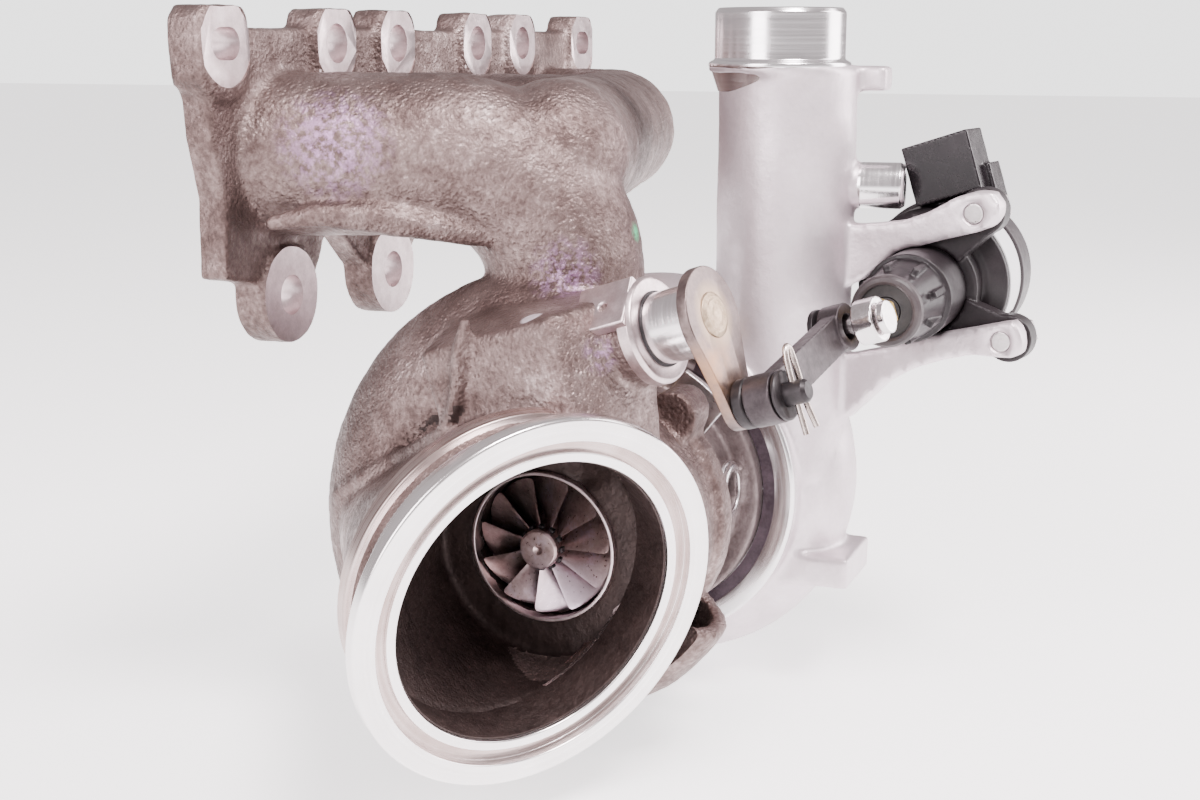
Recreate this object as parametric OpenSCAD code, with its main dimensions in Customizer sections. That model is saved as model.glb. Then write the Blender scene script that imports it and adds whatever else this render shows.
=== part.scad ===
// Turbocharger with a three-port exhaust manifold cast on to its turbine
// housing, a wastegate worked by an electric push-rod actuator, and a
// compressor whose charge outlet stands straight up.
//
// Frame: the origin is on the machined face that meets the cylinder head,
// midway along the upper row of stud holes. +X runs along the row of ports and
// along the rotor shaft, from turbine to compressor; +Y points at the engine;
// +Z is up. Millimetres.

/* [Head flange] */
// Distance between neighbouring exhaust ports
port_pitch = 91; // [90:0.5:92]
// Distance between the two upper studs of one port
stud_gap = 55; // [54:0.5:56]
// Height of the lower studs below the upper ones
stud_drop = 68.6; // [68:0.2:70]
// Radius of a stud hole
stud_hole_r = 5.6; // [5:0.1:6]
// Half width of the slot at each end of the upper row
slot_r = 4.2; // [4.1:0.05:4.4]
// Overall length of that slot
slot_len = 12.4; // [11.6:0.2:13]
// Thickness of the flange plate
plate_t = 8; // [7:0.5:9]
// Thickness at a stud boss
boss_t = 10; // [9.5:0.5:11]
// Radius of an exhaust port
port_r = 17; // [16:0.5:18]
// Depth of the port centres below the upper studs
port_drop = 30; // [29.5:0.5:30.5]

/* [Manifold pipes] */
// Outside radius of the runners
runner_r = 22.3; // [22:0.1:23]
// Outside radius of the collector column
column_r = 22; // [21.5:0.1:22.5]
// Wall of the cast pipes
pipe_wall = 4.5; // [4:0.25:5]

/* [Shaft line] */
// Distance of the shaft from the head face
shaft_y = -85.2; // [-86:0.1:-85]
// Height of the shaft
shaft_z = -133.5; // [-134:0.1:-133]
// Radius of the rotor shaft in its bearings
journal_r = 4; // [3.9:0.05:4.1]
// Running clearance of the shaft in its bearings
journal_clear = 0.03; // [0.02:0.01:0.05]

/* [Turbine] */
// Radius of the turbine wheel where the gas leaves it
exducer_r = 19.4; // [19.2:0.1:19.6]
// Radius of the turbine wheel where the gas enters it
inducer_r = 21.6; // [21.2:0.1:21.8]
// Blades on the turbine wheel
turbine_blades = 11; // [9:1:12]
// Radius of the turbine outlet bore
outlet_r = 38.8; // [38:0.1:39.5]
// Outer radius of the V-band flange
vband_r = 51; // [50.5:0.1:51.4]

/* [Compressor] */
// Blades on the compressor wheel, half of them short
compressor_blades = 12; // [10:2:14]
// Outer radius of the compressor wheel
impeller_r = 24; // [23.5:0.1:24.2]
// Radius at the inlet of the compressor wheel
impeller_eye_r = 17; // [16.5:0.1:17.5]
// Outer radius of the charge outlet spigot
spigot_r = 19.5; // [19:0.1:20]
// Outer radius of the air inlet pipe
inlet_r = 25; // [24.5:0.5:25]

/* [Wastegate] */
// Distance from the wastegate spindle to the lever pin
lever_len = 23.6; // [23:0.1:24]
// Distance between the two eyes of the link bar
link_len = 50.8; // [50:0.1:51]
// Radius of the wastegate spindle
spindle_r = 4.25; // [4.2:0.05:4.3]
// Radius of the valve flap
flap_r = 10; // [9.5:0.1:10.1]

/* [Actuator] */
// Radius of the actuator body
act_r = 23; // [22.5:0.1:23.2]
// Radius of the push rod
rod_r = 4; // [3.8:0.1:4.2]

/* [Hidden] */
$fn = 96;

iron = [0.45, 0.39, 0.37];
steel = [0.80, 0.78, 0.77];
alloy = [0.85, 0.82, 0.84];
black = [0.10, 0.09, 0.10];
dark = [0.30, 0.27, 0.30];

// stud positions, left to right
upper = [-port_pitch - stud_gap/2, -port_pitch + stud_gap/2, -stud_gap/2,
         stud_gap/2, port_pitch - stud_gap/2, port_pitch + stud_gap/2];
lower = [-91.5, -33.5, 91.5];
pz = -port_drop;

// wastegate frame: local Z leaves the housing along the spindle, local X
// points down the lever, local Y runs with the push rod towards +X
wg_at = [-98, -134.1, -66];
wg_az = 259.8;
wg_el = 18;
pin_x = lever_len*cos(4.9);
pin_y = lever_len*sin(4.9);
rod_x = 12.8;
rod_t = 18.2;
knuckle_y = pin_y + sqrt(link_len*link_len - pow(pin_x - rod_x, 2));
rod_tilt = 3.5;
rod_lean = 6.5;
flap_x = 20;
flap_t = -42;

// outlet frame: local Z leaves the housing
out_at = [-129.4, -101.3, -135.7];
out_az = 235.2;
out_el = -12.4;

module on_shaft(x) { translate([x, shaft_y, shaft_z]) rotate([0, 90, 0]) children(); }
module on_wg() { translate(wg_at) rotate([0, 0, wg_az]) rotate([0, 90 - wg_el, 0]) children(); }
// rod frame: local Z runs back along the push rod, which passes through the knuckle at s = 0
module at_knuckle() { on_wg() translate([rod_x, knuckle_y, rod_t]) children(); }
module on_rod(s) { at_knuckle() rotate([-rod_lean, 0, rod_tilt]) translate([0, s, 0]) rotate([-90, 0, 0]) children(); }
module on_outlet(t = 0) { translate(out_at) rotate([0, 0, out_az]) rotate([0, 90 - out_el, 0]) translate([0, 0, t]) children(); }
// a ring or disc about the shaft from x0 to x1
module ring(x0, x1, r, ri = 0) {
  on_shaft(x0) difference() {
    cylinder(h = x1 - x0, r = r);
    if (ri > 0) translate([0, 0, -1]) cylinder(h = x1 - x0 + 2, r = ri);
  }
}
module tube(a, b, r) {
  v = b - a;
  translate(a) rotate([0, acos(v[2]/norm(v)), atan2(v[1], v[0])]) cylinder(h = norm(v), r = r);
}
module hexagon(af, h) { cylinder(h = h, r = af/sqrt(3), $fn = 6); }

// ---------- casting on the engine side ----------
module flange_2d(boss = false) {
  difference() {
    union() {
      if (!boss) {
        polygon([[-126, 4], [-123.5, -24], [-119.5, -40], [-120, -61], [-105, -64], [-78, -70], [-70, -55],
                 [-62, -53], [-47, -66], [-20, -66], [-8, -55], [66, -53], [78, -70], [105, -64], [120, -61],
                 [119.5, -40], [123.5, -24], [126, 4]]);
        for (x = lower) translate([x, -60]) square([27, 20], center = true);
      }
      for (x = upper) intersection() {
        translate([x, -1]) circle(r = 13.6);
        translate([x - 11, -20]) square([22, 29.8]);
      }
      for (x = lower) translate([x, -stud_drop]) circle(r = 13.5);
    }
    for (i = [0 : 5]) if (i == 0 || i == 5) {
      for (s = [-1, 1]) translate([upper[i] + s*(slot_len/2 - slot_r), 0]) circle(r = slot_r);
      translate([upper[i], 0]) square([slot_len - 2*slot_r, 2*slot_r], center = true);
    } else translate([upper[i], 0]) circle(r = stud_hole_r);
    for (x = lower) translate([x, -stud_drop]) circle(r = stud_hole_r);
  }
}
bend_r = 34;
column_at = [-60, -79];
lead_az = atan2(column_at[1], column_at[0] + port_pitch);
module runner_1(r, ext = 0) {
  e = [column_at[0] - bend_r*cos(lead_az), column_at[1] - bend_r*sin(lead_az), pz];
  tube([-port_pitch, 0, pz] - ext*[cos(lead_az), sin(lead_az), 0], e, r);
  translate(e) rotate([0, 0, lead_az]) translate([0, 0, -bend_r]) rotate([90, 0, 0])
    rotate_extrude(angle = 90) translate([bend_r, 0]) circle(r = r);
}
sweep_r = 36;
sweep_end = [port_pitch - sweep_r + sweep_r*cos(-76), -10 + sweep_r*sin(-76), pz];
runner_3_end = [column_at[0] + 2, sweep_end[1] - (sweep_end[0] - column_at[0] - 2)*tan(14), pz];
module runner_3(r) {
  translate([port_pitch, 4, pz]) rotate([90, 0, 0]) cylinder(h = 16, r = r);
  translate([port_pitch - sweep_r, -10, pz]) rotate([0, 0, -76]) rotate_extrude(angle = 76)
    translate([sweep_r, 0]) circle(r = r + 0.3);
  tube(sweep_end + [1.94, 0.48, 0], runner_3_end, r);
}
module runner_2(r) { translate([0, 4, pz]) rotate([90, 0, 0]) cylinder(h = 62, r = r); }
module column(r, z1) { translate([column_at[0], column_at[1], z1]) cylinder(h = pz - bend_r - z1, r = r); }
module exhaust_manifold() color(iron) {
  difference() {
    union() {
      rotate([90, 0, 0]) linear_extrude(plate_t) flange_2d();
      rotate([90, 0, 0]) linear_extrude(boss_t) flange_2d(true);
      runner_1(runner_r); runner_2(runner_r - 1.8); runner_3(runner_r - 1.8);
      column(column_r, -74);
      // rounded end of the third runner above the column
      translate(runner_3_end + [1.2, 0.3, 0]) sphere(r = runner_r - 1.5);
    }
    runner_1(port_r, 6); runner_2(port_r - 1); runner_3(port_r - 1); column(port_r - 0.5, -80);
    translate([-200, 0, -200]) cube([400, 60, 400]);
    translate([-port_pitch, 5, pz]) rotate([90, 0, 0]) cylinder(h = 8, r = port_r + 0.8);
    for (x = upper) translate([x, -boss_t - 30, 0]) rotate([-90, 0, 0]) cylinder(h = 30, r = 11.2);
    for (x = lower) translate([x, -boss_t - 30, -stud_drop]) rotate([-90, 0, 0]) cylinder(h = 30, r = 13);
  }
}

// ---------- turbine housing ----------
scroll_x = -71;
clamp_a = [45, 141, 219, 325];
// one stretch of the volute between two angles about the shaft; 180 is the top
module volute(a0, a1, rc, r) {
  on_shaft(scroll_x) rotate([0, 0, a0]) rotate_extrude(angle = a1 - a0) translate([rc, 0]) circle(r = r);
}
module turbine_housing() color(iron) {
  difference() {
    union() {
      volute(58, 182, 50, 24.5);
      volute(-2, 60, 44, 21);
      volute(-62, 2, 36, 16);
      volute(-176, -58, 30, 11);
      ring(-93, -47, 38);
      ring(-54.5, -46, 40);
      on_shaft(-54) for (a = clamp_a) rotate([0, 0, a]) translate([40.5, 0, 0]) cylinder(h = 7.6, r = 7.5);
      hull() {
        on_outlet(-16) cylinder(h = 2, r = 42.4, $fn = 40);
        on_shaft(-94) cylinder(h = 6, r = 42, $fn = 40);
        translate([-90, -37, -136]) rotate([0, 90, 0]) cylinder(h = 6, r = 16, $fn = 32);
      }
      // wastegate chamber and spindle boss
      hull() {
        on_wg() translate([0, 0, -34]) cylinder(h = 10, r = 11.6, $fn = 32);
        on_wg() translate([-10, -25, -58]) cube([50, 31, 28]);
        on_wg() translate([-10, -25, -72]) cube([20, 40, 20]);
        translate([column_at[0] - 8, column_at[1] + 2, -88]) cylinder(h = 18, r = 20, $fn = 32);
      }
      on_wg() translate([0, 0, -34]) cylinder(h = 19.5, r = 12.6);
      translate([column_at[0], column_at[1], -98]) cylinder(h = 24, r = column_r);
      on_outlet(-17) cylinder(h = 9, r = 43.5);
      on_outlet(-8.8) cylinder(h = 6.8, r1 = 42.8, r2 = vband_r);
      on_outlet(-2) cylinder(h = 3.5, r = vband_r);
    }
    column(column_r + 0.05, -74);
    runner_1(runner_r + 0.05);
    // gas ways
    volute(58, 182, 50, 19);
    volute(-2, 60, 44, 16);
    volute(-62, 2, 36, 11.5);
    volute(-180, -58, 30, 7);
    translate([column_at[0], column_at[1], -104]) cylinder(h = 40, r = port_r - 0.5);
    ring(-74, -64, 30);
    ring(-66, -40, 28.2);
    ring(-96, -70, 20);
    ring(-80.5, -66, 22.2);
    hull() {
      on_outlet(-14) cylinder(h = 3, r = outlet_r - 1, $fn = 40);
      on_shaft(-92) cylinder(h = 2, r = 31, $fn = 40);
    }
    on_outlet(-14) cylinder(h = 20, r = outlet_r);
    on_outlet(0) cylinder(h = 5, r = 41.6);
    // wastegate pocket, valve port and spindle bore
    on_wg() translate([-8, -21.6, -53.6]) cube([44, 24.6, 22.2]);
    on_wg() translate([24, -22, -56]) cube([18, 22, 26]);
    on_wg() translate([0, 0, -52]) cylinder(h = 20.5, r = 7.2);
    on_wg() translate([flap_x, 0, flap_t]) rotate([-90, 0, 0]) cylinder(h = 20, r = 8);
    on_wg() translate([0, 0, -33]) cylinder(h = 30, r = 9.3);
    // joint groove in the outlet face
    on_outlet(-1.4) difference() { cylinder(h = 6, r = 44.8); translate([0, 0, -1]) cylinder(h = 9, r = 41.4); }
    for (a = clamp_a) on_shaft(-53) rotate([0, 0, a]) translate([40.5, 0, 0]) cylinder(h = 10, r = 3);
  }
  // valve seat
  on_wg() translate([flap_x, 3, flap_t]) rotate([-90, 0, 0]) difference() {
    cylinder(h = 1.2, r = 9.8);
    translate([0, 0, -1]) cylinder(h = 4, r = 8);
  }
}

// ---------- bearing housing and its fittings ----------
feed_x = -30;
drain_x = -29;
module bearing_housing() color([0.5, 0.45, 0.44]) {
  difference() {
    union() {
      ring(-60, -46, 28);
      ring(-46, -41.5, 32.5);
      ring(-41.5, -22, 27);
      ring(-22, -15.4, 40);
      ring(-34, -22, 33);
      // oil feed pad above and oil drain pad below
      translate([feed_x, shaft_y, shaft_z + 20]) cylinder(h = 14, r = 8);
      translate([drain_x, shaft_y, shaft_z - 42]) cylinder(h = 22, r = 11.5);
      translate([drain_x + 3, shaft_y, shaft_z - 42]) linear_extrude(6) for (s = [-1, 1]) translate([0, s*17]) circle(r = 6);
      translate([drain_x - 3, shaft_y - 17, shaft_z - 42]) cube([12, 34, 6]);
      // water ports
      for (s = [-1, 1]) translate([-31, shaft_y + s*20, shaft_z + 4]) rotate([s*-90, 0, 0]) cylinder(h = 15, r = 9);
    }
    ring(-62, -50, 8.9);
    ring(-50, -22, 7);
    ring(-22, -10, 20);
    translate([feed_x, shaft_y, shaft_z]) cylinder(h = 40, r = 2.5);
    translate([feed_x, shaft_y, shaft_z + 24]) cylinder(h = 12, r = 5);
    translate([drain_x, shaft_y, shaft_z - 50]) cylinder(h = 36, r = 8);
    translate([drain_x, shaft_y, shaft_z - 15]) cylinder(h = 9, r = 6);
    for (s = [-1, 1]) translate([drain_x + 3, shaft_y + s*17, shaft_z - 50]) cylinder(h = 20, r = 2.8);
    for (s = [-1, 1]) translate([-31, shaft_y + s*22, shaft_z + 4]) rotate([s*-90, 0, 0]) cylinder(h = 20, r = 6);
  }
}
module heat_shield() color([0.6, 0.5, 0.45]) {
  ring(-63.6, -62.8, 27.5, 9.5);
  ring(-62.8, -60.2, 27.5, 26.7);
}
module turbine_clamp_plates() color(steel) for (a = clamp_a) on_shaft(-41.4)
  rotate([0, 0, a]) difference() {
    intersection() { translate([29, -8, 0]) cube([19, 16, 2.6]); cylinder(h = 3, r = 47.5); }
    translate([40.5, 0, -1]) cylinder(h = 6, r = 3.3);
  }
module turbine_clamp_bolts() color(steel) for (a = clamp_a) on_shaft(-38.7) rotate([0, 0, a])
  translate([40.5, 0, 0]) { translate([0, 0, 0]) cylinder(h = 1.2, r = 6); translate([0, 0, 1.2]) hexagon(10, 4.6); translate([0, 0, -14]) cylinder(h = 15, r = 2.95); }
module bush(x) ring(x, x + 7, 6.97, journal_r + journal_clear);
module journal_bearing_turbine() color([0.75, 0.6, 0.35]) bush(-49.5);
module journal_bearing_compressor() color([0.75, 0.6, 0.35]) bush(-30);
module bearing_spacer() color(steel) ring(-42.3, -30.2, 6.9, 5);
module thrust_bearing() color([0.75, 0.6, 0.35]) ring(-17.6, -15.6, 19.8, 5.4);
module compressor_backplate() color(alloy) difference() {
  union() { ring(-15.4, -6.5, 43.9); }
  ring(-17, -5, 6.95);
  ring(-16, -13.5, 10);
  on_shaft(-10.5) rotate_extrude() translate([43.9, 0]) square([3, 2.4], center = true);
}
module backplate_seal() color(black) on_shaft(-10.5) rotate_extrude() translate([43.2, 0]) circle(r = 0.75);
module snap_ring() color(dark) on_shaft(-17.4) difference() {
  cylinder(h = 1.8, r = 43.9);
  translate([0, 0, -1]) cylinder(h = 4, r = 40.4);
  rotate([0, 0, 200]) translate([42, 0, 0]) cube([8, 8, 8], center = true);
}
module oil_feed_union() color(steel) translate([feed_x, shaft_y, shaft_z + 34.2]) difference() {
  union() { cylinder(h = 1.5, r = 7.8); translate([0, 0, 1.5]) rotate([0, 0, 30]) hexagon(14, 6); translate([0, 0, -8]) cylinder(h = 9, r = 4.9); translate([0, 0, 7]) cylinder(h = 4.8, r = 5); }
  translate([0, 0, -12]) cylinder(h = 40, r = 2);
}

// ---------- compressor housing ----------
cscroll_x = 10;
tube_at = [6, -121];
duct_at = [7, -123.5];
arm_y = 100;
arm_t = 7;
ears = [[-8, 35], [29.6, 33]];
module compressor_housing() color(alloy) {
  difference() {
    union() {
      on_shaft(cscroll_x) rotate_extrude() translate([42, 0]) circle(r = 20);
      ring(-18, 0, 50);
      ring(-6, 28, 44);
      ring(28, 36, 30);
      ring(36, 52, inlet_r - 0.8);
      ring(46, 50, inlet_r);
      translate([duct_at[0], duct_at[1], shaft_z + 4]) cylinder(h = -7.4 - shaft_z - 4, r = 20.8);
      translate([tube_at[0], tube_at[1], -8.4]) cylinder(h = 2.5, r = 21.3);
      translate([tube_at[0], tube_at[1], -6.4]) cylinder(h = 14.8, r = spigot_r);
      translate([tube_at[0], tube_at[1], 8.4]) cylinder(h = 2, r1 = spigot_r, r2 = spigot_r - 1.4);
      // tab by the spigot
      translate([tube_at[0] + 6, tube_at[1] - 31, -14]) cube([10, 16, 7.4]);
      // small side nozzle
      translate([duct_at[0], duct_at[1], -41.7]) rotate([0, 90, -82]) cylinder(h = 36, r = 6.8);
      // foot lug
      translate([-8, -150, -164]) cube([28, 22, 10]);
      // actuator arms
      on_wg() translate([0, arm_y + arm_t, 0]) rotate([90, 0, 0]) linear_extrude(arm_t) {
        polygon([[-20, -30], [-16, -8], [-13, 5], [-11.5, 14], [-12, 22], [-14, 31], [-14, 37.5], [-12.5, 42], [-8.5, 43.5],
                 [-5.5, 42.5], [-3, 39.5], [-2.5, 34], [-3, 24], [-3, 14], [-2, 6.5], [2, -4], [6, -30]]);
        polygon([[22, -30], [23.5, -2], [23, 10], [23.5, 21], [24, 31], [24.5, 38], [27.5, 39.5], [31.5, 39.5], [34.5, 38],
                 [35, 35], [33.5, 30], [31.5, 24], [31, 15], [31.5, 5.5], [34, -5], [42, -20], [42, -30]]);
      }
    }
    on_shaft(cscroll_x) rotate_extrude() translate([42, 0]) circle(r = 16.3);
    translate([duct_at[0], duct_at[1], shaft_z + 6]) cylinder(h = -9 - shaft_z - 6, r = 16.8);
    translate([tube_at[0], tube_at[1], -12]) cylinder(h = 60, r = 16.6);
    translate([duct_at[0], duct_at[1], -41.7]) rotate([0, 90, -82]) cylinder(h = 50, r = 4.4);
    ring(-20, -6.4, 44);
    ring(-6.5, -2.8, 42);
    on_shaft(0) rotate_extrude() polygon([[0, -7], [impeller_r + 0.4, -7], [impeller_r + 0.4, -2.8], [20.5, 0.2],
      [impeller_eye_r + 0.4, 8.2], [impeller_eye_r + 0.4, 60], [0, 60]]);
    ring(30, 60, 21);
    on_wg() for (e = ears) translate([e[0], arm_y - 10, e[1]]) rotate([-90, 0, 0]) cylinder(h = 30, r = 3);
    on_rod(10) cylinder(h = 46, r = 13.2);
    on_rod(54) cylinder(h = 26, r = 16.6);
  }
}

// ---------- rotor ----------
module turbine_wheel() color([0.62, 0.52, 0.50]) {
  on_shaft(0) {
    rotate_extrude() polygon([[0, -94], [4.2, -94], [5.2, -93], [5.6, -88], [8, -78], [13, -70], [19, -68.3],
      [19, -66.6], [8, -66.2], [8, -60.1], [0, -60.1]]);
    intersection() {
      rotate_extrude() polygon([[2, -90.5], [exducer_r, -90.5], [exducer_r, -80], [inducer_r, -76], [inducer_r, -68.4], [2, -68.4]]);
      for (i = [0 : turbine_blades - 1]) rotate([0, 0, i*360/turbine_blades])
        translate([0, 0, -79.5]) rotate([32, 0, 0]) translate([0, -0.7, -20]) cube([30, 1.4, 40]);
    }
  }
}
module turbine_piston_ring() color(steel) ring(-56, -54.4, 8.85, 7);
module rotor_shaft() color(steel) difference() {
  union() { ring(-60, -52, 8); ring(-52, -20.2, journal_r); ring(-20.2, 24, 2.8); }
  on_shaft(-55.2) rotate_extrude() translate([8, 0]) square([2.2, 1.9], center = true);
}
module thrust_collar() color(steel) { ring(-20.2, -17.9, 8.5, 2.8); ring(-17.9, -15.3, 5, 2.8); }
module oil_flinger() color(steel) difference() { ring(-15.3, -6, 6.5, 2.8); on_shaft(-10) rotate_extrude() translate([6.6, 0]) square([2.2, 1.7], center = true); }
module compressor_piston_ring() color(steel) ring(-10.7, -9.3, 6.9, 5.6);
module compressor_wheel() color([0.88, 0.87, 0.88]) on_shaft(0) difference() {
  union() {
    rotate_extrude() polygon([[0, -6], [impeller_r, -6], [impeller_r, -5], [14, -2], [8, 5], [5.6, 14], [5, 18], [0, 18]]);
    intersection() {
      rotate_extrude() polygon([[2, -5.5], [impeller_r, -5.5], [impeller_r, -3.2], [20, 0], [impeller_eye_r, 8], [impeller_eye_r, 16], [2, 16]]);
      for (i = [0 : compressor_blades - 1]) rotate([0, 0, i*360/compressor_blades])
        translate([0, 0, 2]) rotate([-34, 0, 0]) translate([0, -0.5, -20]) cube([30, 1, i % 2 == 0 ? 40 : 29]);
    }
  }
  translate([0, 0, -8]) cylinder(h = 30, r = 2.8);
}
module compressor_nut() color(steel) on_shaft(18) difference() { hexagon(9, 5); translate([0, 0, -1]) cylinder(h = 8, r = 2.8); }

// ---------- wastegate ----------
module wastegate_spindle() color([0.55, 0.5, 0.5]) on_wg() {
  translate([0, 0, -46]) cylinder(h = 47.6, r = spindle_r);
  difference() {
    union() {
      translate([0, 0, -46]) cylinder(h = 8, r = 6.5);
      translate([0, -10.2, -45]) cube([flap_x, 6.2, 6]);
      translate([0, -8, -45]) cube([4, 8, 6]);
      translate([flap_x, -10.2, flap_t]) rotate([-90, 0, 0]) cylinder(h = 6.2, r = 6);
    }
    translate([flap_x, -14, flap_t]) rotate([-90, 0, 0]) cylinder(h = 20, r = 3.2);
  }
}
module wastegate_flap() color(steel) on_wg() translate([flap_x, 0, flap_t]) rotate([-90, 0, 0]) {
  translate([0, 0, -0.6]) cylinder(h = 3.3, r = flap_r);
  translate([0, 0, -3.8]) cylinder(h = 3.4, r = 6);
  translate([0, 0, -12.4]) cylinder(h = 9, r = 3);
}
module flap_washer() color(steel) on_wg() translate([flap_x, -11.8, flap_t]) rotate([-90, 0, 0]) difference() {
  cylinder(h = 1.5, r = 5.6);
  translate([0, 0, -1]) cylinder(h = 4, r = 3);
}
module wastegate_bushing() color(steel) on_wg() translate([0, 0, -33]) difference() {
  cylinder(h = 31.2, r = 9.3);
  translate([0, 0, -1]) cylinder(h = 40, r = spindle_r + 0.05);
}
module wastegate_lever() color([0.55, 0.48, 0.45]) on_wg() difference() {
  translate([0, 0, -1.5]) linear_extrude(3) union() {
    circle(r = 12.6);
    translate([pin_x, pin_y]) circle(r = 6.2);
    polygon([[-1, -12.5], [pin_x + 1, pin_y - 6.1], [pin_x + 1, pin_y + 6.1], [1, 12.5]]);
  }
  translate([0, 0, -3]) cylinder(h = 8, r = spindle_r);
  translate([pin_x, pin_y, -3]) cylinder(h = 8, r = 3);
}
module lever_weld() color([0.6, 0.5, 0.42]) on_wg() translate([0, 0, 1.6]) cylinder(h = 0.9, r = 5.8);
module at_pin(t) { on_wg() translate([pin_x, pin_y, t]) children(); }
module lever_pin() color(black) at_pin(-2.5) {
  difference() {
    union() {
      cylinder(h = 23, r = 3);
      cylinder(h = 1, r = 4.6);
      translate([0, 0, 4]) cylinder(h = 3.4, r = 6.4);
    }
    translate([-10, 0, 19]) rotate([0, 90, 0]) cylinder(h = 20, r = 0.9);
  }
}
module pin_washer() color(black) at_pin(13) difference() { cylinder(h = 1.6, r = 6.4); translate([0, 0, -1]) cylinder(h = 4, r = 3); }
module hairpin_clip() color(steel) at_pin(16.5) rotate([0, 0, 90]) {
  translate([0, -11, 0]) rotate([-90, 0, 0]) cylinder(h = 22, r = 0.8);
  translate([4.2, -10, 0]) rotate([-90, 0, 0]) cylinder(h = 21, r = 0.8);
  translate([2.1, 11, 0]) rotate_extrude(angle = 180) translate([2.1, 0]) circle(r = 0.8);
}

// ---------- link bar, push rod and knuckle ----------
link_a = atan2(knuckle_y - pin_y, rod_x - pin_x);
module link_bar() color(dark) at_pin(5.2) rotate([0, 0, link_a]) difference() {
  union() {
    cylinder(h = 7.6, r = 6.6);
    translate([link_len, 0, 0]) cylinder(h = 6.4, r = 6.6);
    translate([0, -5, 1.3]) cube([link_len, 10, 4.6]);
  }
  translate([0, 0, -1]) cylinder(h = 12, r = 3.05);
  translate([link_len, 0, -1]) cylinder(h = 12, r = 3.6);
}
rod_end = 56;
module push_rod() color(steel) difference() {
  union() {
    on_rod(4.8) cylinder(h = rod_end - 4.8, r = rod_r);
    at_knuckle() translate([0, 0, -3]) cylinder(h = 6, r = 6.2);
  }
  at_knuckle() translate([0, 0, -6]) cylinder(h = 12, r = 2.5);
  on_rod(rod_end - 24) cylinder(h = 30, r = 2.55);
}
module rod_lock_nut() color([0.9, 0.75, 0.3]) on_rod(6.4) difference() { hexagon(9, 3.4); translate([0, 0, -1]) cylinder(h = 8, r = rod_r); }
module knuckle_pin() color(steel) at_knuckle() { translate([0, 0, 2.2 - rod_t]) cylinder(h = 18.8, r = 2.5); translate([0, 0, 3.6]) cylinder(h = 2, r = 4.5); }
module knuckle_washers() color(dark) at_knuckle() translate([0, 0, 2.2 - rod_t]) difference() {
  cylinder(h = 1.6, r = 6.5);
  translate([0, 0, -1]) cylinder(h = 8, r = 2.5);
}

// ---------- actuator ----------
lug_y = arm_y + arm_t + 0.2;
module at_ear(i, y) { on_wg() translate([ears[i][0], y, ears[i][1]]) rotate([-90, 0, 0]) children(); }
module actuator_nose() color(black) difference() {
  union() {
    on_rod(14.5) cylinder(h = 3.5, r = 9.9);
    on_rod(17.4) cylinder(h = 20, r1 = 8.2, r2 = 11.6);
    on_rod(37) cylinder(h = 19, r = 12.9);
    on_rod(17) for (a = [0 : 45 : 315]) rotate([0, 0, a]) translate([7, -1, 0]) cube([2.4, 2, 20.5]);
    on_rod(26) for (a = [0 : 45 : 315]) rotate([0, 0, a]) translate([8, -1, 0]) cube([3.7, 2, 11.5]);
  }
  on_rod(8) cylinder(h = 40, r = rod_r + 0.2);
  on_rod(12) cylinder(h = 6, r = 7.4);
  on_rod(34) cylinder(h = 30, r = 9);
}
module rod_seal() color([0.2, 0.17, 0.17]) on_rod(15) difference() { cylinder(h = 3, r = 7.4); translate([0, 0, -1]) cylinder(h = 8, r = rod_r + 0.15); }
module actuator_body() color(black) difference() {
  union() {
    on_rod(56.2) cylinder(h = 8, r = 16);
    on_rod(63) cylinder(h = 3, r1 = 18.5, r2 = act_r);
    on_rod(66) cylinder(h = 18, r = act_r);
    for (i = [0, 1]) {
      at_ear(i, lug_y) cylinder(h = 6, r = 7);
      on_wg() translate([0, lug_y + 6, 0]) rotate([90, 0, 0]) linear_extrude(6)
        polygon(i == 0 ? [[-13, 31], [-6, 10], [10, 12], [-3, 40]] : [[10, 16], [22, 9], [35, 29], [27, 39]]);
    }
  }
  on_rod(40) cylinder(h = 16.2, r = 13.2);
  on_rod(50) cylinder(h = 18, r = 9);
  on_rod(67) cylinder(h = 40, r = act_r - 3);
  for (i = [0, 1]) at_ear(i, arm_y) cylinder(h = 30, r = 3);
}
module actuator_cover() color(black) difference() {
  union() {
    on_rod(84) cylinder(h = 13, r = act_r + 1);
    on_rod(97) cylinder(h = 4, r1 = act_r + 1, r2 = act_r - 4);
  }
  on_rod(83) cylinder(h = 13.6, r = act_r - 3);
}
module actuator_connector() color(black) difference() {
  union() {
    on_wg() translate([-32.6, 114, 13.4]) cube([18, 12.5, 21]);
    on_wg() translate([-21.6, 120, 12]) cube([12, 9, 24.4]);
  }
  on_wg() translate([-40, 116, 15.2]) cube([20.4, 8, 17.4]);
  on_rod(50) cylinder(h = 34.1, r = act_r);
  on_rod(84) cylinder(h = 30, r = act_r + 1);
}
module connector_pins() color(steel) for (i = [-2 : 2]) on_wg() translate([-23.6, 119.6, 23.5 + i*3.2]) cube([4, 0.8, 0.8]);
module actuator_label() color("white") on_rod(68.6) difference() {
  intersection() { cylinder(h = 14, r = act_r + 0.35); rotate([0, 0, -95]) translate([0, -15, -1]) cube([40, 32, 20]); }
  translate([0, 0, -1]) cylinder(h = 20, r = act_r);
}
module actuator_motor() color([0.6, 0.6, 0.62]) on_rod(67.2) difference() { cylinder(h = 22, r = act_r - 3.2); translate([0, 0, -1]) cylinder(h = 30, r = 4.2); }
module drive_screw() color(steel) { on_rod(36) cylinder(h = 58, r = 2.5); on_rod(68) cylinder(h = 21, r = 4.1); }
module screw_bearing() color(steel) on_rod(90.4) difference() { cylinder(h = 6.1, r = 9); translate([0, 0, -1]) cylinder(h = 5.2, r = 2.55); }
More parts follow.
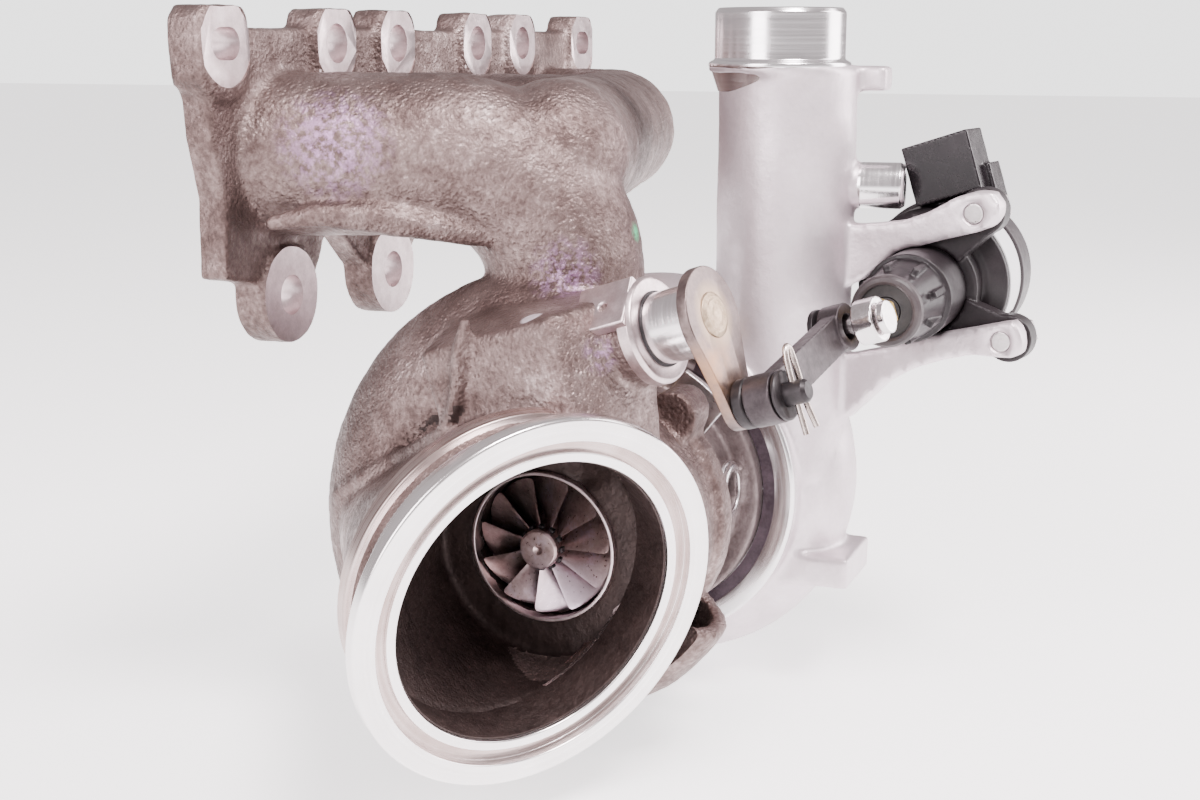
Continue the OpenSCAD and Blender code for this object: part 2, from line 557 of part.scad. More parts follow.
module cover_screws() color(steel) for (a = [45, 135, 225, 315]) on_rod(101) rotate([0, 0, a]) translate([13, 0, 0]) cylinder(h = 1.4, r = 2.4);
module actuator_bolts() color(steel) for (i = [0, 1]) at_ear(i, arm_y - 0.1) {
  translate([0, 0, 13.4]) cylinder(h = 1.2, r = 6);
  translate([0, 0, 14.6]) hexagon(10, 4);
  translate([0, 0, 1]) cylinder(h = 13, r = 2.95);
}

exhaust_manifold();
turbine_housing();
bearing_housing();
heat_shield();
turbine_clamp_plates();
turbine_clamp_bolts();
journal_bearing_turbine();
journal_bearing_compressor();
bearing_spacer();
thrust_bearing();
compressor_backplate();
backplate_seal();
snap_ring();
compressor_housing();
wastegate_bushing();
oil_feed_union();
turbine_wheel();
turbine_piston_ring();
rotor_shaft();
thrust_collar();
oil_flinger();
compressor_piston_ring();
compressor_wheel();
compressor_nut();
wastegate_spindle();
wastegate_flap();
flap_washer();
wastegate_lever();
lever_weld();
lever_pin();
pin_washer();
hairpin_clip();
link_bar();
push_rod();
rod_lock_nut();
knuckle_pin();
knuckle_washers();
actuator_nose();
actuator_body();
actuator_cover();
actuator_connector();
connector_pins();
actuator_label();
actuator_motor();
drive_screw();
screw_bearing();
rod_seal();
cover_screws();
actuator_bolts();
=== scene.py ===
import math
import bpy
import bmesh
import numpy as np
from mathutils import Matrix, Vector, noise


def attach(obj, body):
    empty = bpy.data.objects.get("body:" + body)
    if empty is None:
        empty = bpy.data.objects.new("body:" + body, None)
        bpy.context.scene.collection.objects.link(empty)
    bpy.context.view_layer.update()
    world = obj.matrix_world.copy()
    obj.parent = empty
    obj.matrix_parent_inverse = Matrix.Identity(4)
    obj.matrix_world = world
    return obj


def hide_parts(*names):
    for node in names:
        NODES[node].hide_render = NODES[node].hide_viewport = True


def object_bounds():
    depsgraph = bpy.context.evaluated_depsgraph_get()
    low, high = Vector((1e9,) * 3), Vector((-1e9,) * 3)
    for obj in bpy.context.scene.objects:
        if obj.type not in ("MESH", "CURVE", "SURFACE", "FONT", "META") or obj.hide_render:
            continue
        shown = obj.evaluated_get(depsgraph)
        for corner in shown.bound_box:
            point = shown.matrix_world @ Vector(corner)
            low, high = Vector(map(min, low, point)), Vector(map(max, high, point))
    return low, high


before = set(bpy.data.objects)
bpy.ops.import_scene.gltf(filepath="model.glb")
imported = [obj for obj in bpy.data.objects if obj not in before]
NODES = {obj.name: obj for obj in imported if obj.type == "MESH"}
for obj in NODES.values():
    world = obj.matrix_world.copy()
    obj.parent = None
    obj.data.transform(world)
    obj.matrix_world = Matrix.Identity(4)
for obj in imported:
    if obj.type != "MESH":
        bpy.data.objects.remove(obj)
BOX0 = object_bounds()
COLL = bpy.context.scene.collection
R = math.radians


# ---------------------------------------------------------------- frames, in mm
def T(x, y, z):
    return Matrix.Translation((x, y, z))


def RX(a):
    return Matrix.Rotation(R(a), 4, "X")


def RY(a):
    return Matrix.Rotation(R(a), 4, "Y")


def RZ(a):
    return Matrix.Rotation(R(a), 4, "Z")


SHAFT_Y, SHAFT_Z = -85.2, -133.5
WG = T(-98, -134.1, -66) @ RZ(259.8) @ RY(72)
LEVER, LINK, ROD_X, ROD_T = 23.6, 50.8, 12.8, 18.2
PIN_X, PIN_Y = LEVER * math.cos(R(4.9)), LEVER * math.sin(R(4.9))
KNUCKLE_Y = PIN_Y + math.sqrt(LINK ** 2 - (PIN_X - ROD_X) ** 2)
KNUCKLE = WG @ T(ROD_X, KNUCKLE_Y, ROD_T)


def on_shaft(x=0):
    return T(x, SHAFT_Y, SHAFT_Z) @ RY(90)


def on_outlet(t=0):
    return T(-129.4, -101.3, -135.7) @ RZ(235.2) @ RY(102.4) @ T(0, 0, t)


def on_rod(s=0):
    return KNUCKLE @ RZ(3.5) @ RX(-6.5) @ T(0, s, 0) @ RX(-90)


def at_pin(t=0):
    return WG @ T(PIN_X, PIN_Y, t)


# ---------------------------------------------------------------- materials
class Mat:
    """A node material built up in steps; object coordinates are the row frame in metres."""

    def __init__(self, name):
        self.m = bpy.data.materials.new(name)
        self.m.use_nodes = True
        self.t = self.m.node_tree
        self.b = self.t.nodes["Principled BSDF"]
        self.co = self.add("ShaderNodeTexCoord").outputs["Object"]
        self.uv = None

    def add(self, kind, **kw):
        n = self.t.nodes.new(kind)
        for k, v in kw.items():
            setattr(n, k, v)
        return n

    def link(self, a, b):
        self.t.links.new(a, b)

    def noise(self, scale, detail=3.0, rough=0.55, dist=0.0, co=None, stretch=None):
        n = self.add("ShaderNodeTexNoise")
        n.inputs["Scale"].default_value = scale
        n.inputs["Detail"].default_value = detail
        n.inputs["Roughness"].default_value = rough
        n.inputs["Distortion"].default_value = dist
        src = co or self.co
        if stretch:
            mp = self.add("ShaderNodeMapping")
            mp.inputs["Scale"].default_value = stretch
            self.link(src, mp.inputs["Vector"])
            src = mp.outputs["Vector"]
        self.link(src, n.inputs["Vector"])
        return n.outputs["Fac"]

    def voronoi(self, scale):
        n = self.add("ShaderNodeTexVoronoi")
        n.inputs["Scale"].default_value = scale
        self.link(self.co, n.inputs["Vector"])
        return n.outputs["Distance"]

    def ramp(self, fac, stops):
        n = self.add("ShaderNodeValToRGB")
        e = n.color_ramp.elements
        while len(e) < len(stops):
            e.new(0.5)
        for i, (p, c) in enumerate(stops):
            e[i].position = p
            e[i].color = (*c, 1) if len(c) == 3 else c
        self.link(fac, n.inputs["Fac"])
        return n.outputs["Color"]

    def remap(self, fac, a, b, c, d):
        n = self.add("ShaderNodeMapRange")
        for k, v in zip(("From Min", "From Max", "To Min", "To Max"), (a, b, c, d)):
            n.inputs[k].default_value = v
        self.link(fac, n.inputs["Value"])
        return n.outputs["Result"]

    def mix(self, fac, a, b, mode="MIX"):
        n = self.add("ShaderNodeMix", data_type="RGBA", blend_type=mode)
        for v, s in ((fac, n.inputs[0]), (a, n.inputs[6]), (b, n.inputs[7])):
            if isinstance(v, (int, float)):
                s.default_value = v
            elif isinstance(v, tuple):
                s.default_value = (*v, 1)
            else:
                self.link(v, s)
        return n.outputs[2]

    def math(self, op, a, b=0.0, clamp=False):
        n = self.add("ShaderNodeMath", operation=op, use_clamp=clamp)
        for v, s in ((a, n.inputs[0]), (b, n.inputs[1])):
            if isinstance(v, (int, float)):
                s.default_value = v
            else:
                self.link(v, s)
        return n.outputs[0]

    def near(self, centre, radius, soft):
        """1 near a point in mm, falling to 0 outside the radius."""
        n = self.add("ShaderNodeVectorMath", operation="DISTANCE")
        self.link(self.co, n.inputs[0])
        n.inputs[1].default_value = tuple(x * 0.001 for x in centre)
        return self.remap(n.outputs["Value"], radius * 0.001, (radius + soft) * 0.001, 1, 0)

    def colour(self, c):
        s = self.b.inputs["Base Color"]
        if isinstance(c, tuple):
            s.default_value = (*c, 1)
        else:
            self.link(c, s)

    def put(self, name, v):
        s = self.b.inputs[name]
        if isinstance(v, (int, float)):
            s.default_value = v
        else:
            self.link(v, s)

    def bump(self, height, strength, distance):
        n = self.add("ShaderNodeBump")
        n.inputs["Strength"].default_value = strength
        n.inputs["Distance"].default_value = distance
        self.link(height, n.inputs["Height"])
        self.link(n.outputs["Normal"], self.b.inputs["Normal"])

    def turned(self):
        """Noise drawn out along a lathe piece's turning direction, from its UV map."""
        uv = self.add("ShaderNodeUVMap")
        uv.uv_map = "UVMap"
        mp = self.add("ShaderNodeMapping")
        mp.inputs["Scale"].default_value = (1.5, 900.0, 1.0)
        self.link(uv.outputs["UV"], mp.inputs["Vector"])
        return self.noise(1.0, 2.0, 0.6, co=mp.outputs["Vector"])


def simple(name, c0, c1, metal, r0, r1, scale=60.0, bump_scale=900.0, strength=0.15, distance=0.0002, coat=0.0, spec=None):
    m = Mat(name)
    big = m.noise(scale, 4.0, 0.6)
    fine = m.noise(bump_scale, 3.0, 0.6)
    m.colour(m.ramp(m.math("ADD", m.math("MULTIPLY", big, 0.7), m.math("MULTIPLY", fine, 0.3)), [(0.32, c0), (0.68, c1)]))
    m.put("Metallic", metal)
    m.put("Roughness", m.remap(m.noise(scale * 3.1, 3.0), 0.3, 0.7, r0, r1))
    m.put("Coat Weight", coat)
    if spec is not None:
        m.put("Specular IOR Level", spec)
    m.bump(fine, strength, distance)
    return m.m


def cast_iron():
    m = Mat("cast_iron_skin")
    big = m.noise(26, 5.0, 0.62)
    mid = m.noise(160, 4.0, 0.6)
    grain = m.noise(620, 4.0, 0.62)
    pits = m.voronoi(760)
    tone = m.math("ADD", m.math("MULTIPLY", big, 0.5), m.math("ADD", m.math("MULTIPLY", mid, 0.22), m.math("MULTIPLY", grain, 0.28)))
    col = m.ramp(tone, [(0.34, (0.042, 0.026, 0.023)), (0.45, (0.115, 0.078, 0.072)), (0.55, (0.220, 0.163, 0.153)), (0.68, (0.52, 0.425, 0.41))])
    # painted highlight: a purple sheen painted into the colour at three spots on the casting
    painted_sheen = m.math("MAXIMUM", m.near((-102, -31, -25), 2, 15), m.near((-80.5, -88, -60), 1, 10))
    painted_sheen = m.math("MAXIMUM", painted_sheen, m.near((-108, -109, -76), 0.5, 5))
    painted_sheen = m.math("MULTIPLY", painted_sheen, m.remap(m.noise(420, 4.0, 0.65), 0.44, 0.60, 0, 1))
    col = m.mix(m.math("MULTIPLY", painted_sheen, 0.8), col, (0.50, 0.30, 0.52))
    col = m.mix(m.math("MULTIPLY", m.near((-58.5, -99.7, -50.7), 0.3, 3.0), m.remap(m.noise(500), 0.35, 0.55, 0, 1)), col, (0.10, 0.62, 0.30))
    col = m.mix(m.near((-111.4, -91.7, -66.8), 2.4, 0.8), col, (0.86, 0.78, 0.84))
    m.colour(col)
    m.put("Metallic", m.remap(grain, 0.3, 0.7, 0.74, 0.96))
    m.put("Roughness", m.remap(m.math("ADD", m.math("MULTIPLY", mid, 0.5), m.math("MULTIPLY", grain, 0.5)), 0.35, 0.65, 0.56, 0.36))
    h = m.math("ADD", m.math("MULTIPLY", grain, 1.0), m.math("MULTIPLY", m.remap(pits, 0.0, 0.5, 0, 1), 0.35))
    m.bump(h, 0.75, 0.0007)
    return m.m


def cast_alloy():
    m = Mat("cast_alloy_skin")
    big = m.noise(22, 5.0, 0.6)
    grain = m.noise(700, 4.0, 0.6)
    mid = m.noise(120, 4.0, 0.6)
    tone = m.math("ADD", m.math("MULTIPLY", big, 0.6), m.math("ADD", m.math("MULTIPLY", grain, 0.15), m.math("MULTIPLY", mid, 0.25)))
    m.colour(m.ramp(tone, [(0.32, (0.56, 0.485, 0.515)), (0.55, (0.72, 0.64, 0.675)), (0.75, (0.86, 0.79, 0.82))]))
    m.put("Metallic", 0.75)
    m.put("Roughness", m.remap(mid, 0.35, 0.65, 0.50, 0.40))
    m.bump(m.math("ADD", grain, m.math("MULTIPLY", mid, 0.8)), 0.28, 0.00035)
    return m.m


def turned(name, c0, c1, r0, r1, strength=0.25):
    m = Mat(name)
    lines = m.turned()
    m.colour(m.ramp(m.math("ADD", m.math("MULTIPLY", lines, 0.5), m.math("MULTIPLY", m.noise(70, 4.0), 0.5)), [(0.35, c0), (0.65, c1)]))
    m.put("Metallic", 1.0)
    m.put("Roughness", m.remap(lines, 0.3, 0.7, r0, r1))
    m.bump(lines, strength, 0.00008)
    return m.m


def lever_steel():
    m = Mat("lever_steel_tinted")
    g = m.noise(900, 3.0)
    b = m.noise(140, 4.0, 0.6)
    base = m.ramp(m.math("ADD", m.math("MULTIPLY", b, 0.7), m.math("MULTIPLY", g, 0.3)), [(0.35, (0.105, 0.078, 0.074)), (0.66, (0.235, 0.185, 0.178))])
    o = WG @ Vector((0, 0, 0))
    d = m.add("ShaderNodeVectorMath", operation="DISTANCE")
    m.link(m.co, d.inputs[0])
    d.inputs[1].default_value = tuple(x * 0.001 for x in o)
    ring = m.math("MULTIPLY", m.remap(d.outputs["Value"], 0.0065, 0.0095, 1, 0), 0.8)
    base = m.mix(ring, base, (0.33, 0.24, 0.17))
    low = WG @ Vector((15, -5, 0))
    base = m.mix(m.math("MULTIPLY", m.near(low, 4, 9), m.remap(b, 0.35, 0.6, 0.2, 1)), base, (0.36, 0.21, 0.13))
    m.colour(base)
    m.put("Metallic", 0.9)
    m.put("Roughness", m.remap(b, 0.35, 0.65, 0.28, 0.42))
    m.bump(g, 0.12, 0.00015)
    return m.m


def wheel_alloy():
    m = Mat("wheel_alloy")
    b = m.noise(130, 4.0, 0.6)
    g = m.noise(1100, 3.0, 0.6)
    col = m.ramp(m.math("ADD", m.math("MULTIPLY", b, 0.7), m.math("MULTIPLY", g, 0.3)), [(0.34, (0.36, 0.25, 0.235)), (0.52, (0.55, 0.42, 0.41)), (0.70, (0.70, 0.58, 0.66))])
    # painted highlight: a pale lilac sheen painted into the colour at one spot of the turbine wheel
    col = m.mix(m.math("MULTIPLY", m.near((-92, -92, -150), 5, 12), 0.6), col, (0.78, 0.66, 0.80))
    m.colour(col)
    m.put("Metallic", 0.95)
    m.put("Roughness", m.remap(g, 0.3, 0.7, 0.26, 0.42))
    m.bump(g, 0.25, 0.0002)
    return m.m


M_IRON = cast_iron()
M_ALLOY = cast_alloy()
M_SPOT = simple("machined_iron", (0.48, 0.385, 0.39), (0.76, 0.65, 0.66), 1.0, 0.30, 0.42, 220, 1500, 0.10, 0.0001)
M_CHAMBER = simple("sooty_chamber", (0.018, 0.010, 0.009), (0.052, 0.033, 0.030), 0.55, 0.42, 0.62, 120, 700, 0.6, 0.0006)
M_RING = turned("turned_steel", (0.80, 0.765, 0.76), (0.95, 0.93, 0.93), 0.16, 0.30)
M_RINGBROWN = turned("turned_steel_stained", (0.36, 0.27, 0.25), (0.62, 0.52, 0.50), 0.22, 0.36)
M_BUSH = turned("bush_steel", (0.70, 0.66, 0.67), (0.84, 0.81, 0.82), 0.16, 0.28, 0.15)
M_MALU = turned("turned_alloy", (0.74, 0.72, 0.73), (0.90, 0.885, 0.895), 0.16, 0.27, 0.18)
M_LEVER = lever_steel()
M_WELD = simple("weld_metal", (0.34, 0.24, 0.16), (0.66, 0.52, 0.38), 0.9, 0.34, 0.5, 700, 1600, 0.4, 0.0003)
M_DARK = simple("dark_phosphate", (0.010, 0.008, 0.009), (0.030, 0.025, 0.027), 0.5, 0.34, 0.5, 200, 1200, 0.2, 0.0002)
M_LINK = simple("link_steel", (0.028, 0.022, 0.024), (0.070, 0.058, 0.062), 0.7, 0.36, 0.5, 150, 1100, 0.2, 0.0002)
M_WIRE = simple("spring_wire", (0.42, 0.34, 0.30), (0.74, 0.66, 0.62), 1.0, 0.22, 0.34, 400, 1500, 0.1, 0.0001)
M_CHROME = simple("plated_steel", (0.62, 0.58, 0.58), (0.82, 0.79, 0.80), 1.0, 0.10, 0.20, 300, 1500, 0.06, 0.0001)
M_STEEL = simple("plain_steel", (0.45, 0.42, 0.42), (0.66, 0.63, 0.63), 1.0, 0.26, 0.38, 180, 1300, 0.12, 0.00015)
M_ZINC = simple("zinc_yellow", (0.58, 0.36, 0.08), (0.82, 0.58, 0.18), 0.7, 0.30, 0.44, 500, 1500, 0.12, 0.0001)
M_PLASTIC = simple("black_nylon", (0.007, 0.005, 0.006), (0.018, 0.014, 0.016), 0.0, 0.34, 0.46, 90, 1600, 0.14, 0.00012, spec=0.3)
M_GLOSS = simple("black_gloss_nylon", (0.006, 0.005, 0.006), (0.014, 0.011, 0.013), 0.0, 0.20, 0.30, 90, 1600, 0.08, 0.0001, 0.1, spec=0.3)
M_CUP = simple("worn_nylon", (0.020, 0.014, 0.016), (0.050, 0.038, 0.040), 0.0, 0.38, 0.52, 200, 1500, 0.2, 0.00015)
M_COVER = simple("cover_nylon", (0.016, 0.012, 0.014), (0.038, 0.030, 0.033), 0.0, 0.34, 0.48, 120, 1500, 0.14, 0.00012)
M_LABEL = simple("blank_label", (0.74, 0.735, 0.75), (0.84, 0.835, 0.85), 0.0, 0.40, 0.5, 90, 1400, 0.05, 0.0001)
M_BEARING = simple("bearing_iron_skin", (0.085, 0.062, 0.060), (0.26, 0.21, 0.21), 0.75, 0.42, 0.58, 60, 700, 0.5, 0.0005)
M_BRONZE = simple("bronze_metal", (0.42, 0.27, 0.13), (0.62, 0.43, 0.22), 1.0, 0.24, 0.36, 150, 1200, 0.1, 0.0001)
M_RUBBER = simple("seal_rubber", (0.012, 0.011, 0.011), (0.030, 0.028, 0.028), 0.0, 0.55, 0.7, 200, 1500, 0.2, 0.0002)
M_SNAP = simple("snap_ring_steel", (0.050, 0.036, 0.046), (0.13, 0.10, 0.12), 0.8, 0.34, 0.46, 160, 1300, 0.14, 0.00015)
M_BRASS = simple("contact_brass_metal", (0.62, 0.44, 0.16), (0.80, 0.62, 0.28), 1.0, 0.2, 0.3, 300, 1500, 0.06, 0.0001)
M_CAN = simple("motor_can_metal", (0.40, 0.40, 0.41), (0.58, 0.58, 0.59), 1.0, 0.26, 0.36, 130, 1300, 0.1, 0.0001)
M_SHIELD = simple("heat_shield_metal", (0.34, 0.28, 0.25), (0.55, 0.48, 0.44), 1.0, 0.3, 0.42, 130, 1300, 0.1, 0.0001)
M_MILLED = simple("milled_alloy", (0.72, 0.71, 0.73), (0.88, 0.87, 0.89), 1.0, 0.18, 0.28, 260, 1600, 0.1, 0.0001)


# ---------------------------------------------------------------- mesh tools
def place(name, mesh, mats, body="housing", nodes=(), slot=None, sharp=32.0):
    mesh.name = name
    o = bpy.data.objects.new(name, mesh)
    COLL.objects.link(o)
    mesh.materials.clear()
    for m in mats if isinstance(mats, (list, tuple)) else [mats]:
        mesh.materials.append(m)
    mesh.polygons.foreach_set("use_smooth", [True] * len(mesh.polygons))
    if sharp:
        mesh.set_sharp_from_angle(angle=R(sharp))
    mesh.update()
    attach(o, body)
    if nodes:
        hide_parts(*nodes)
    return o


def mm_mesh(bm, M=Matrix.Identity(4)):
    """bmesh in mm and a local frame to a mesh in metres in the row frame."""
    bm.transform(M)
    bm.transform(Matrix.Scale(0.001, 4))
    if bm.calc_volume(signed=True) < 0:
        bmesh.ops.reverse_faces(bm, faces=bm.faces[:])
    me = bpy.data.meshes.new("tmp")
    bm.to_mesh(me)
    bm.free()
    return me


def fillet(pts, n=4):
    """Polygon corners (x, y[, radius]) to a polyline with arcs."""
    out = []
    c = len(pts)
    for i, p in enumerate(pts):
        r = p[2] if len(p) > 2 else 0
        P = Vector((p[0], p[1]))
        if r <= 0:
            out.append(P)
            continue
        A = Vector(pts[i - 1][:2]) - P
        B = Vector(pts[(i + 1) % c][:2]) - P
        la, lb = A.length, B.length
        A.normalize(); B.normalize()
        half = math.acos(max(-1, min(1, A.dot(B)))) / 2
        d = min(r / math.tan(half), la * 0.48, lb * 0.48)
        q = d * math.tan(half)
        cen = P + (A + B).normalized() * (q / math.sin(half))
        a0, a1 = P + A * d - cen, P + B * d - cen
        t0 = math.atan2(a0.y, a0.x)
        t1 = math.atan2(a1.y, a1.x)
        dt = (t1 - t0 + math.pi) % (2 * math.pi) - math.pi
        for k in range(n + 1):
            t = t0 + dt * k / n
            out.append(cen + Vector((math.cos(t), math.sin(t))) * q)
    return out


def lathe_bm(prof, seg=96, n=4):
    """Closed profile of (r, z[, fillet]) corners, turned about Z; a profile may touch the axis."""
    line = fillet(prof, n)
    bm = bmesh.new()
    uvl = bm.loops.layers.uv.new("UVMap")
    length = [0.0]
    for i in range(len(line)):
        length.append(length[-1] + (line[(i + 1) % len(line)] - line[i]).length)
    rings = []
    for p in line:
        if p.x < 1e-4:
            rings.append([bm.verts.new((0, 0, p.y))])
        else:
            rings.append([bm.verts.new((p.x * math.cos(2 * math.pi * k / seg), p.x * math.sin(2 * math.pi * k / seg), p.y)) for k in range(seg)])
    for i in range(len(line)):
        a, b = rings[i], rings[(i + 1) % len(line)]
        if len(a) == 1 and len(b) == 1:
            continue
        v0, v1 = length[i] * 0.001, length[i + 1] * 0.001
        for k in range(seg):
            q = (k + 1) % seg
            u0, u1 = k / seg, (k + 1) / seg
            if len(a) == 1:
                vs, us = (a[0], b[q], b[k]), ((u0, v0), (u1, v1), (u0, v1))
            elif len(b) == 1:
                vs, us = (a[k], a[q], b[0]), ((u0, v0), (u1, v0), (u0, v1))
            else:
                vs, us = (a[k], a[q], b[q], b[k]), ((u0, v0), (u1, v0), (u1, v1), (u0, v1))
            f = bm.faces.new(vs)
            for lp, uv in zip(f.loops, us):
                lp[uvl].uv = uv
    return bm


def lathe(name, prof, M, mat, seg=96, n=4, **kw):
    return place(name, mm_mesh(lathe_bm(prof, seg, n), M), mat, **kw)


def plate_mesh(outline, holes, z0, z1, bevel, M, res=3):
    """A flat plate with holes and rounded edges, from curves, in mm."""
    cu = bpy.data.curves.new("plate", "CURVE")
    cu.dimensions = "2D"
    cu.fill_mode = "BOTH"
    h = (z1 - z0) / 2
    cu.extrude = h - bevel
    cu.bevel_depth = bevel
    cu.bevel_resolution = res
    cu.offset = -bevel
    for loop in [outline] + list(holes):
        s = cu.splines.new("POLY")
        s.points.add(len(loop) - 1)
        for p, q in zip(s.points, loop):
            p.co = (q[0], q[1], 0, 1)
        s.use_cyclic_u = True
    o = bpy.data.objects.new("plate", cu)
    COLL.objects.link(o)
    bpy.context.view_layer.update()
    me = bpy.data.meshes.new_from_object(o.evaluated_get(bpy.context.evaluated_depsgraph_get()))
    bpy.data.objects.remove(o)
    bm = bmesh.new()
    bm.from_mesh(me)
    bmesh.ops.remove_doubles(bm, verts=bm.verts[:], dist=1e-3)
    bpy.data.meshes.remove(me)
    return mm_mesh(bm, M @ T(0, 0, (z0 + z1) / 2))


def circle(x, y, r, n=48):
    return [(x + r * math.cos(2 * math.pi * k / n), y + r * math.sin(2 * math.pi * k / n)) for k in range(n)]


def box_bm(size, centre=(0, 0, 0)):
    bm = bmesh.new()
    bmesh.ops.create_cube(bm, size=1, matrix=Matrix.Translation(centre) @ Matrix.Diagonal((*size, 1)))
    return bm


def prism_bm(poly, M, h):
    """Polygon in XY raised by h in Z, in frame M."""
    bm = bmesh.new()
    a = [bm.verts.new((x, y, 0)) for x, y in poly]
    b = [bm.verts.new((x, y, h)) for x, y in poly]
    bm.faces.new(a[::-1])
    bm.faces.new(b)
    for i in range(len(a)):
        j = (i + 1) % len(a)
        bm.faces.new((a[i], a[j], b[j], b[i]))
    bm.transform(M)
    bmesh.ops.recalc_face_normals(bm, faces=bm.faces[:])
    return bm


def cyl_bm(M, r, h, seg=64, r2=None):
    bm = bmesh.new()
    bmesh.ops.create_cone(bm, cap_ends=True, segments=seg, radius1=r, radius2=r if r2 is None else r2, depth=h, matrix=M @ T(0, 0, h / 2))
    return bm


def ball_bm(centre, r, seg=48):
    bm = bmesh.new()
    bmesh.ops.create_uvsphere(bm, u_segments=seg, v_segments=seg // 2, radius=r, matrix=Matrix.Translation(centre))
    return bm


def tube_bm(pts, r, seg=32, caps=True):
    """A round bar along points, in mm; r is one radius or one for each point."""
    P = [Vector(p) for p in pts]
    bm = bmesh.new()
    rings = []
    t = (P[1] - P[0]).normalized()
    x = t.orthogonal().normalized()
    for i, p in enumerate(P):
        t2 = (P[min(i + 1, len(P) - 1)] - P[max(i - 1, 0)]).normalized()
        x = (x - t2 * x.dot(t2)).normalized()
        y = t2.cross(x)
        rr = r[i] if isinstance(r, (list, tuple)) else r
        rings.append([bm.verts.new(p + (x * math.cos(a) + y * math.sin(a)) * rr) for a in (2 * math.pi * k / seg for k in range(seg))])
    for a, b in zip(rings, rings[1:]):
        for k in range(seg):
            q = (k + 1) % seg
            bm.faces.new((a[k], a[q], b[q], b[k]))
    if caps:
        bm.faces.new(rings[0][::-1])
        bm.faces.new(rings[-1])
    bmesh.ops.recalc_face_normals(bm, faces=bm.faces[:])
    return bm


def gather(nodes, extra=()):
    """CAD nodes (in metres) and extra solids (bmesh in mm) in one mesh, in mm."""
    bm = bmesh.new()
    for n in nodes:
        t = bmesh.new()
        t.from_mesh(NODES[n].data)
        bmesh.ops.remove_doubles(t, verts=t.verts[:], dist=2e-6)
        t.transform(Matrix.Scale(1000, 4))
        me = bpy.data.meshes.new("g")
        t.to_mesh(me)
        t.free()
        bm.from_mesh(me)
        bpy.data.meshes.remove(me)
    for e in extra:
        me = bpy.data.meshes.new("g")
        e.to_mesh(me)
        e.free()
        bm.from_mesh(me)
        bpy.data.meshes.remove(me)
    return bm


def modified(me, *mods):
    """The mesh after modifiers, each (type, {settings})."""
    o = bpy.data.objects.new("work", me)
    COLL.objects.link(o)
    for kind, kw in mods:
        m = o.modifiers.new(kind, kind)
        for k, v in kw.items():
            setattr(m, k, v)
    bpy.context.view_layer.update()
    out = bpy.data.meshes.new_from_object(o.evaluated_get(bpy.context.evaluated_depsgraph_get()))
    bpy.data.objects.remove(o)
    bpy.data.meshes.remove(me)
    return out


def moulded(bm, voxel, smooth, factor=0.5):
    """Solids fused at a voxel size and softened, as a casting or moulding comes out; in mm."""
    me = bpy.data.meshes.new("m")
    bm.to_mesh(me)
    bm.free()
    mods = [("REMESH", {"mode": "VOXEL", "voxel_size": voxel, "adaptivity": 0.0})]
    if smooth:
        mods.append(("SMOOTH", {"factor": factor, "iterations": smooth}))
    return modified(me, *mods)


def cut(me, cutter):
    """me minus a cutter bmesh, both in mm."""
    cm = bpy.data.meshes.new("c")
    cutter.to_mesh(cm)
    cutter.free()
    c = bpy.data.objects.new("cutter", cm)
    COLL.objects.link(c)
    n = len(me.polygons)
    out = modified(me, ("BOOLEAN", {"operation": "DIFFERENCE", "object": c, "solver": "MANIFOLD"}))
    bpy.data.objects.remove(c)
    print("cut", n, "->", len(out.polygons))
    return out


def grain(me, amps, skip=None):
    """Moves the skin along its normals with noise: (amplitude, wavelength) pairs in mm."""
    n = len(me.vertices)
    co = np.empty(n * 3)
    me.vertices.foreach_get("co", co)
    co = co.reshape(-1, 3)
    no = np.array([v.normal for v in me.vertices])
    d = np.zeros(n)
    for a, w in amps:
        d += a * np.array([noise.noise(Vector(p) / w) for p in co])
    if skip is not None:
        d *= 1 - skip(co)
    me.vertices.foreach_set("co", (co + no * d[:, None]).ravel())
    me.update()
    return me


def face_arrays(me):
    n = len(me.polygons)
    c, no = np.empty(n * 3), np.empty(n * 3)
    me.polygons.foreach_get("center", c)
    me.polygons.foreach_get("normal", no)
    return c.reshape(-1, 3), no.reshape(-1, 3)


def to_metres(me):
    me.transform(Matrix.Scale(0.001, 4))
    return me


def local(M, pts):
    """Points in the row frame, in mm, to frame M."""
    A = np.array(M.inverted())
    return pts @ A[:3, :3].T + A[:3, 3]


def soften(name, nodes, mat, voxel, smooth=2, body="housing", slot=None, extra=(), sharp=0, factor=0.5):
    q = voxel * 1.0
    me = moulded(gather(nodes, extra), q, smooth, factor)
    return place(name, to_metres(me), mat, body, nodes, slot, sharp)


# ---------------------------------------------------------------- the iron casting
UPPER = [-118.5, -63.5, -27.5, 27.5, 63.5, 118.5]
LOWER = [-91.5, -33.5, 91.5]
XZ = RX(90)   # (x, y, h) of a flat outline to (x, -h, y)
FLANGE = [(-126, 4), (-123.5, -24), (-119.5, -40), (-120, -61), (-105, -64), (-78, -70), (-70, -55), (-62, -53), (-47, -66),
          (-20, -66), (-8, -55), (66, -53), (78, -70), (105, -64), (120, -61), (119.5, -40), (123.5, -24), (126, 4)]
VOX = 0.95


def boss_outline(x):
    """Chamfered at the top, round at the bottom."""
    top = [(x + 10.5, 0), (x + 10.5, 4.6), (x + 6.4, 9.6), (x - 6.4, 9.6), (x - 10.5, 4.6), (x - 10.5, 0)]
    return top + [(x + 10.5 * math.cos(R(a)), 10.5 * math.sin(R(a)) * 1.15) for a in range(195, 346, 15)]


def arc(c, r, a0, a1, n=14, z=0.0):
    return [(c[0] + r * math.cos(R(a0 + (a1 - a0) * k / n)), c[1] + r * math.sin(R(a0 + (a1 - a0) * k / n)), z) for k in range(n + 1)]


